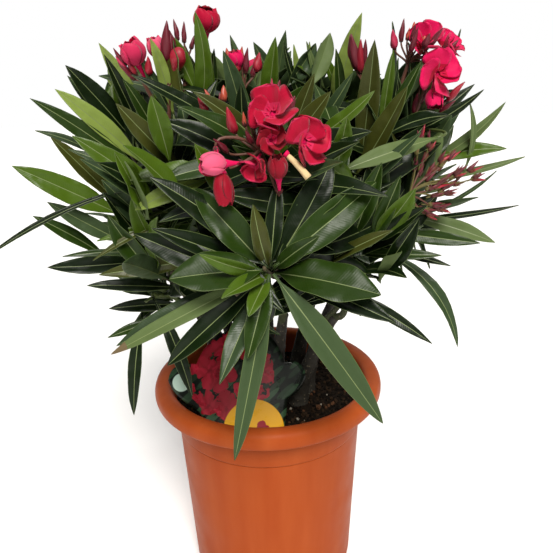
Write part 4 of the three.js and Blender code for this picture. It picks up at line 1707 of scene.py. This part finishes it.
def petal(lofts, base, way, face, size, tint, rng, bow):
    """One broad petal: narrow at its claw, round at its end, fuller on one side."""
    length, width = size
    rows, columns = 11, 9
    u = np.linspace(0.0, 1.0, rows)
    rise = 0.3 + 0.7 * np.sin(0.5 * math.pi * (u / 0.66).clip(0, 1)) ** 0.9
    half = width / 2 * rise * round_end(u)
    bent = bow * u
    side = np.cross(face, way)
    ways = np.outer(np.cos(bent), way) - np.outer(np.sin(bent), face)
    points = base + np.cumsum(np.diff(u, prepend=0)[:, None] * length * ways, axis=0)
    faces = np.outer(np.cos(bent), face) + np.outer(np.sin(bent), way)
    x, upper = two_faced(columns)
    fuller = np.where(x > 0, 1.2, 0.85)
    phase = rng.uniform(0, 2 * math.pi)
    ruffle = np.sin(2.6 * math.pi * u[:, None] + phase + 2.2 * x) * u[:, None] ** 2
    height = half[:, None] * (0.34 * x**2 + 0.16 * ruffle * np.abs(x))
    height += 0.6 * MM * np.sin(phase + 5 * x) * u[:, None] ** 3
    body = PETAL_THICKNESS / 2 * upper
    rings = points[:, None, :] + (half[:, None] * x * fuller)[..., None] * side
    rings = rings + (height + body)[..., None] * faces[:, None, :]
    slots = np.full((rows - 1, len(x)), tint)
    slots[:, columns - 1 :] = {RUBY: CRIMSON, PALE: PALE}.get(tint, BLUSH)
    slots[:3, : columns - 1] = CRIMSON if tint == ROSE else BLUSH
    # Painted highlight: the end row of a crimson petal's face is blush, like light on its curled edge.
    if tint == CRIMSON:
        slots[-1, : columns - 1] = BLUSH
    measures = np.stack(np.broadcast_arrays(u[:, None] * length / MM, half[:, None] * x / MM), 2)
    lofts.add(rings, slots, measures=measures)


def lapped_petal(lofts, base, axes, turn, size, tint, rng):
    """One petal of a half-closed flower: a piece of a cup, with one edge outside the next petal's."""
    side, over, facing = axes
    height, girth = size
    rows, columns = 13, 11
    u = np.linspace(0.0, 1.0, rows)[:, None]
    rise = 0.4 + 0.6 * np.sin(0.5 * math.pi * (u / 0.5).clip(0, 1))
    half = math.radians(64) * rise * round_end(u)
    x, inner = two_faced(columns)
    closing = rng.uniform(0.78, 0.88)
    out = girth * (0.34 + 0.66 * np.sin(math.pi * closing * u**0.8))
    phase = rng.uniform(0, 2 * math.pi)
    out = out + girth * (0.1 * x * rise + 0.1 * np.sin(phase + 2.5 * x) * u**4)
    out = out - PETAL_THICKNESS / 2 * inner
    angle = turn + half * x
    up = height * rng.uniform(0.94, 1.04) * (u + 0.02 * np.sin(phase + 4 * x) * u**2)
    ways = [np.cos(angle)[..., None] * side, np.sin(angle)[..., None] * over]
    rings = base + out[..., None] * (ways[0] + ways[1]) + up[..., None] * facing
    slots = np.full((rows - 1, len(x)), tint)
    # Painted shade: the inner face of a half-closed cup is dealt a deeper red than its outside.
    slots[:, : columns - 1] = {PALE: BLUSH, BLUSH: ROSE}.get(tint, RUBY)
    measures = np.stack(np.broadcast_arrays(u * height / MM, half * girth * x / MM), 2)
    lofts.add(rings, slots, measures=measures)


def spindle(lofts, base, way, length, radius, slot, rng, fat=False):
    """A closed bud: petals wound round each other, to a point or, if it is fat, to a blunt end."""
    rows, sides = 12, 15
    u = np.linspace(0.02, 0.985, rows)
    shape = np.sin(math.pi * u**0.62) ** 0.75 * (1 - 0.25 * u) + 0.05
    if fat:
        shape = np.sin(math.pi * u**1.45) ** 0.62 * (0.55 + 0.45 * u) + 0.12
    turn = round_angles(sides)
    wound = 1 + 0.11 * np.cos(3 * (turn + 2.6 * u[:, None] + rng.uniform(0, 2)))
    size = radius * shape[:, None] * wound
    lean = square_to(rng.normal(size=3), way)
    path = base + np.outer(u * length, way) + np.outer((u**2) * length * 0.08, lean)
    lofts.add(tube(path, size, sides), slot, last=path[-1] + way * length * 0.02)


def sepals(lofts, base, way, size, slot, rng, spread=0.45):
    """Five small pointed sepals round the foot of a flower or bud."""
    side, over = square_pair(UP + 0.3, way)
    for k in range(5):
        turn = 2 * math.pi * k / 5 + rng.normal() * 0.1
        outward = between(side, over, turn)
        tip = between(way, outward, spread)
        path = base + outward * 0.7 * MM + np.outer(np.linspace(0, 1, 5), tip * size)
        lofts.add(tube(path, np.array((0.6, 0.85, 0.7, 0.42, 0.12)) * MM, 6), slot)


def stalk(lofts, start, heading, end, arriving, radius, slot):
    """A curved stalk from one point to another, leaving and arriving in given directions."""
    span = np.linalg.norm(end - start)
    t = np.linspace(0, 1, 10)[:, None]
    a, b = start + heading * span * 0.4, end - arriving * span * 0.35
    path = (1 - t) ** 3 * start + 3 * (1 - t) ** 2 * t * a + 3 * (1 - t) * t**2 * b + t**3 * end
    lofts.add(tube(path, radius * np.linspace(1.25, 0.9, 10), 8), slot)


def truss_stem(stalks, origin, foot, fork, radius, slot):
    """A truss's main stalk, from foot to fork in mm from an origin: gives its fork and its way."""
    foot, fork = (origin + np.array(place) * MM for place in (foot, fork))
    way = unit(fork - foot)
    stalk(stalks, foot, way, fork, way, radius, slot)
    return fork, way


def open_flower(petals, stalks, base, facing, scale, opened, tint, blooms, rng):
    """Tube, five petals, fringed crown and sepals. base is the middle of its face."""
    facing = unit(np.array(facing, float))
    side, over = square_pair(np.array((0.2, 0.1, 1.0)), facing)
    opened = math.radians(opened)
    wide_open = opened > 0.6
    depth = 15 * MM * scale
    rows = np.linspace(0, 1, 9)
    path = base - np.outer((1 - rows) * depth, facing)
    flare = (1.1 + 2.6 * rows**2.2) * MM * scale
    petals.add(tube(path, flare, 12), ROSE, last=path[-1] - facing * 2 * MM)
    start = rng.uniform(0, 2 * math.pi)
    for k in range(5):
        turn = start + 2 * math.pi * k / 5 + rng.normal() * 0.05
        if not wide_open:
            size = (18 * MM * scale, (7 + 6 * opened) * MM * scale)
            lapped_petal(petals, base - facing * 1.5 * MM, (side, over, facing), turn, size, tint, rng)
            continue
        outward = between(side, over, turn)
        spread = opened * rng.uniform(0.9, 1.08)
        way = between(facing, outward, spread)
        face = facing * math.sin(spread) - outward * math.cos(spread)
        across = np.cross(face, way)
        tipped = 0.32 + rng.normal() * 0.05
        face = unit(between(face, across, tipped))
        shade = RUBY if tint == CRIMSON and rng.uniform() < 0.25 else tint
        length = blooms.petal_length * scale * rng.uniform(0.92, 1.08)
        width = blooms.petal_width * scale * rng.uniform(0.92, 1.08)
        claw = base + outward * 2.4 * MM * scale
        bow = rng.uniform(-0.5, 0.45)
        petal(petals, claw, way, face, (length, width), shade, rng, bow)
        for s in (-1, 1):
            tilt = unit(facing + outward * 0.35 + s * 0.25 * across)
            root = base + outward * 2.6 * MM * scale + across * s * 0.9 * MM * scale
            thread = root + np.outer(np.linspace(0, 1, 4), tilt * 5.0 * MM * scale)
            petals.add(tube(thread, np.array((0.5, 0.55, 0.35, 0.1)) * MM, 5), ROSE)
    sepals(stalks, path[0], facing, 4.2 * MM, SEPAL, rng)
    return path[0]


def put_bud(buds, stalks, blooms, fork, way, root, heading, length, radius, kind, rng):
    """A closed bud with its sepals, on a stalk from its truss's fork."""
    spindle(buds, root, heading, length, radius, kind, rng, radius > 5 * MM)
    sepals(stalks, root - heading * 0.5 * MM, heading, 3.6 * MM, SEPAL, rng, 0.3)
    stalk(stalks, fork - way * 4 * MM, way, root, heading, 0.8 * blooms.stalk_radius, STALK)


def build_flowers(blooms):
    """Every truss: open flowers, buds and their stalks."""
    petals, buds, stalks = Lofts(), Lofts(), Lofts()
    for index, truss in enumerate(TRUSSES.values()):
        rng = np.random.default_rng(TRUSS_SEED + index)
        origin = truss_origin(truss)
        stem_radius = 1.5 * blooms.stalk_radius
        fork, way = truss_stem(stalks, origin, truss.foot, truss.fork, stem_radius, STALK)
        for place, facing, size, opened, tint in truss.flowers:
            face = origin + np.array(place) * MM
            foot_of_tube = open_flower(petals, stalks, face, facing, size, opened, tint, blooms, rng)
            stalk(stalks, fork, way, foot_of_tube, unit(np.array(facing)), blooms.stalk_radius, STALK)
        side, over = square_pair(UP + 0.2, way)
        for place, length, radius, kind in truss.shown:
            tip = origin + np.array(place) * MM
            heading = unit(0.6 * unit(tip - fork) + 0.5 * way)
            root = tip - heading * length * MM
            put_bud(buds, stalks, blooms, fork, way, root, heading, length * MM, radius * MM, kind, rng)
        for k in range(truss.buds):
            turn = 2.4 * k + rng.normal() * 0.2
            spread = truss.spread * math.sqrt((k + 0.6) / truss.buds)
            outward = between(side, over, turn)
            heading = unit(between(way, outward, spread) + UP * 0.15)
            height = truss.height * MM * rng.uniform(0.45, 1.0)
            root = fork + heading * height
            length = blooms.bud_length * rng.uniform(0.45, 0.9)
            radius = blooms.bud_radius * rng.uniform(0.6, 1.0)
            # Painted light: a tenth of the buds are dealt the orange of a lit bud.
            kind = int(rng.choice((BUD_DARK, BUD_RED, BUD_ORANGE), p=(0.62, 0.28, 0.10)))
            put_bud(buds, stalks, blooms, fork, way, root, heading, length, radius, kind, rng)
    add_spent_truss(buds, stalks, blooms)
    top, end = (middle_of("mass_middle_front") + np.array(place) * MM for place in OLD_TUBE)
    path = bezier(top, (top + end) / 2 + UP * 1.5 * MM, end, 8)
    petals.add(tube(path, np.linspace(1.7, 2.5, 8) * MM, 12), CREAM)
    petals.add(tube(path[:2] + (top - end) * 0.12, np.array((2.6, 2.0)) * MM, 12), ROSE)
    shades = {"crimson": 0.55, "ruby": 0.55, "rose": 0.55, "blush": 0.6, "pale": 0.6, "cream": 0.6}
    satins = [satin_petal("petal_satin_" + n, getattr(blooms, n), rough) for n, rough in shades.items()]
    petals.make("petals", satins)
    skins = [
        green_stalk("bud_waxed_maroon", blooms.bud_dark, 0.5),
        green_stalk("bud_waxed_red", blooms.bud_red, 0.45),
        green_stalk("bud_waxed_pink", blooms.bud_pink, 0.45),
        green_stalk("bud_waxed_orange", blooms.bud_orange, 0.45),
    ]
    buds.make("flower_buds", skins)
    stems = [
        green_stalk("stalk_waxed_pink_brown", blooms.stalk, 0.55),
        green_stalk("sepal_matt_maroon", blooms.sepal, 0.65),
        green_stalk("stalk_matt_yellow_green", blooms.spent_stalk, 0.65),
        green_stalk("sepal_dry_brown", blooms.spent_sepal, 0.8),
    ]
    stalks.make("flower_stalks", stems)


# The finished truss's foot, its fork and the ends of its stalks, in mm from the middle of the right
# mass's box.
SPENT_FOOT = (-45, -50, -24)
SPENT_FORK = (-40, -54, -4)
SPENT_TIPS = (
    (-31, -48, 38), (-24, -46, 32), (-16, -46, 22), (-8, -44, 24), (-4, -46, 12), (8, -42, 14),
    (13, -40, 8), (-10, -46, -2), (-20, -50, 4), (-14, -48, -12), (-26, -52, -14),
)


def add_spent_truss(buds, stalks, blooms):
    """The finished truss on the right: forked green stalks with dry pointed calyces and a few buds."""
    rng = np.random.default_rng(SPENT_SEED)
    origin = middle_of("mass_right")
    stem_radius = 1.6 * blooms.stalk_radius
    fork, way = truss_stem(stalks, origin, SPENT_FOOT, SPENT_FORK, stem_radius, SPENT_STALK)
    for place in SPENT_TIPS:
        tip = origin + np.array(place) * MM
        branch_way = unit(tip - fork + UP * 4 * MM)
        kind = int(rng.choice((SPENT_STALK, STALK)))
        stalk(stalks, fork, way, tip, branch_way, 0.65 * blooms.stalk_radius, kind)
        side, over = square_pair(UP, branch_way)
        for j in range(6):
            spin = 2.4 * j + rng.uniform(0, 1)
            aside = between(side, over, spin)
            tip_way = unit(branch_way + aside * rng.uniform(0.1, 0.4))
            start = fork + (tip - fork) * (1.0 if j < 3 else rng.uniform(0.45, 0.8))
            knot = start + tip_way * rng.uniform(1, 4) * MM
            radius = 0.5 * blooms.stalk_radius
            stalk(stalks, start - branch_way * 2 * MM, branch_way, knot, tip_way, radius, SPENT_STALK)
            dry = (SEPAL, SPENT_SEPAL, SPENT_STALK)[j % 3]
            sepals(stalks, knot, tip_way, rng.uniform(4, 8) * MM, dry, rng, 0.16)
            kind = BUD_RED if j == 1 else BUD_DARK
            spindle(buds, knot, tip_way, rng.uniform(9, 14) * MM, rng.uniform(0.9, 1.5) * MM, kind, rng)


# ---- Stage ----


def build_floor(stage):
    """A pale floor disc with a fine matt grain."""
    rings = lathe([(stage.floor_radius, -2 * MM), (stage.floor_radius, 0.0), (0.3, 0.0)], 96)
    mesh = bpy.data.meshes.new("floor")
    corners = loft_faces(*rings.shape[:2])[0]
    points = np.concatenate([rings.reshape(-1, 3), [(0, 0, -2 * MM), (0, 0, 0)]])
    mesh.from_pydata(points.tolist(), [], corners.tolist())
    floor = bpy.data.objects.new("floor", mesh)
    bpy.context.scene.collection.objects.link(floor)
    material, add, shader = start_material("floor_matt_white", stage.floor_colour, 0.9)
    uneven_gloss(add, shader, add("TexCoord").outputs["Object"], 0.2, 0.85, 0.95)
    mesh.materials.append(material)


def place_camera(stage):
    """The camera, at standing height in front of the plant."""
    cos_p, sin_p = math.cos(stage.pitch), math.sin(stage.pitch)
    cos_y, sin_y = math.cos(stage.yaw), math.sin(stage.yaw)
    ahead = Vector((sin_y * cos_p, cos_y * cos_p, -sin_p))
    level = Vector((cos_y, -sin_y, 0))
    over = level.cross(ahead)
    cos_r, sin_r = math.cos(stage.roll), math.sin(stage.roll)
    right = level * cos_r + over * sin_r
    top = over * cos_r - level * sin_r
    data = bpy.data.cameras.new("camera")
    data.lens = stage.lens
    data.clip_start = 0.01
    camera = bpy.data.objects.new("camera", data)
    turned = Matrix((right, top, -ahead)).transposed().to_4x4()
    camera.matrix_world = Matrix.Translation(stage.eye) @ turned
    bpy.context.scene.collection.objects.link(camera)
    bpy.context.scene.camera = camera


def add_lamp(name, energy, angle, colour, turned):
    """A distant soft lamp; its angle and turns are in degrees."""
    data = bpy.data.lights.new(name, "SUN")
    data.energy = energy
    data.angle = math.radians(angle)
    data.color = colour
    lamp = bpy.data.objects.new(name, data)
    lamp.rotation_euler = [math.radians(turn) for turn in turned]
    bpy.context.scene.collection.objects.link(lamp)


SURROUND_GLOW = 0.08  # the surround's light on the plant; the camera sees it as plain white


def light_stage():
    """A white surround, a large soft key from above the front and a faint one from behind."""
    world = bpy.data.worlds.new("white_surround")
    bpy.context.scene.world = world
    world.use_nodes = True
    tree = world.node_tree
    seen = add_node(tree, "LightPath").outputs["Is Camera Ray"]
    strength = add_node(tree, "MapRange", {0: seen, "To Min": SURROUND_GLOW, "To Max": 1.0})
    feed(tree.nodes["Background"], {"Color": (1.0, 1.0, 1.0, 1.0), "Strength": strength})
    add_lamp("key", energy=4.3, angle=26, colour=(1.0, 0.965, 0.91), turned=(42, 8, 0))
    add_lamp("back", energy=1.6, angle=110, colour=(1.0, 1.0, 1.0), turned=(-55, -10, 0))
    bpy.context.scene.view_settings.view_transform = "Standard"


# ---- Operators ----


class OLEANDER_OT_pot(bpy.types.Operator):
    """Builds the pot with its rolled rim"""

    bl_idname = "oleander.pot"
    bl_label = "Pot"

    def execute(self, context):
        build_pot(look("pot"))
        return {"FINISHED"}


class OLEANDER_OT_soil(bpy.types.Operator):
    """Builds the compost and its crumbs"""

    bl_idname = "oleander.soil"
    bl_label = "Soil"

    def execute(self, context):
        build_soil(look("pot"))
        return {"FINISHED"}


class OLEANDER_OT_tag(bpy.types.Operator):
    """Builds the printed tag"""

    bl_idname = "oleander.tag"
    bl_label = "Picture tag"

    def execute(self, context):
        build_tag(look("pot"))
        return {"FINISHED"}


class OLEANDER_OT_stems(bpy.types.Operator):
    """Builds the bark of the stems"""

    bl_idname = "oleander.stems"
    bl_label = "Stems"

    def execute(self, context):
        build_stems(look("foliage"))
        return {"FINISHED"}


class OLEANDER_OT_boughs(bpy.types.Operator):
    """Builds the bark of the boughs"""

    bl_idname = "oleander.boughs"
    bl_label = "Boughs"

    def execute(self, context):
        build_boughs(look("foliage"))
        return {"FINISHED"}


class OLEANDER_OT_foliage(bpy.types.Operator):
    """Grows the twigs and leaves of every mass"""

    bl_idname = "oleander.foliage"
    bl_label = "Twigs and leaves"

    def execute(self, context):
        build_foliage(look("foliage"))
        return {"FINISHED"}


class OLEANDER_OT_rosette(bpy.types.Operator):
    """Builds the broad-leaved rosette at the front"""

    bl_idname = "oleander.rosette"
    bl_label = "Front rosette"

    def execute(self, context):
        build_rosette(look("foliage"))
        return {"FINISHED"}


class OLEANDER_OT_flowers(bpy.types.Operator):
    """Builds the flowers, buds and stalks"""

    bl_idname = "oleander.flowers"
    bl_label = "Flowers"

    def execute(self, context):
        build_flowers(look("flowers"))
        return {"FINISHED"}


class OLEANDER_OT_stage(bpy.types.Operator):
    """Sets up the camera, floor and lights"""

    bl_idname = "oleander.stage"
    bl_label = "Stage"

    def execute(self, context):
        build_floor(look("stage"))
        place_camera(look("stage"))
        light_stage()
        return {"FINISHED"}


OPERATORS = (
    OLEANDER_OT_stage,
    OLEANDER_OT_pot,
    OLEANDER_OT_soil,
    OLEANDER_OT_tag,
    OLEANDER_OT_stems,
    OLEANDER_OT_boughs,
    OLEANDER_OT_foliage,
    OLEANDER_OT_rosette,
    OLEANDER_OT_flowers,
)


class OLEANDER_PT_panel(bpy.types.Panel):
    """Lists the plant's pieces"""

    bl_idname = "OLEANDER_PT_panel"
    bl_label = "Potted oleander"
    bl_space_type = "VIEW_3D"
    bl_region_type = "UI"
    bl_category = "Oleander"

    def draw(self, context):
        for operator in OPERATORS:
            self.layout.operator(operator.bl_idname)


def register():
    for kind in (*LOOKS.values(), *OPERATORS, OLEANDER_PT_panel):
        bpy.utils.register_class(kind)
    for name, kind in LOOKS.items():
        setattr(bpy.types.Scene, name, bpy.props.PointerProperty(type=kind))


def unregister():
    for name in LOOKS:
        delattr(bpy.types.Scene, name)
    for kind in reversed((*LOOKS.values(), *OPERATORS, OLEANDER_PT_panel)):
        bpy.utils.unregister_class(kind)


def main():
    """Builds everything in order."""
    register()
    for operator in OPERATORS:
        group, name = operator.bl_idname.split(".")
        getattr(getattr(bpy.ops, group), name)()


if __name__ == "__main__":
    main()
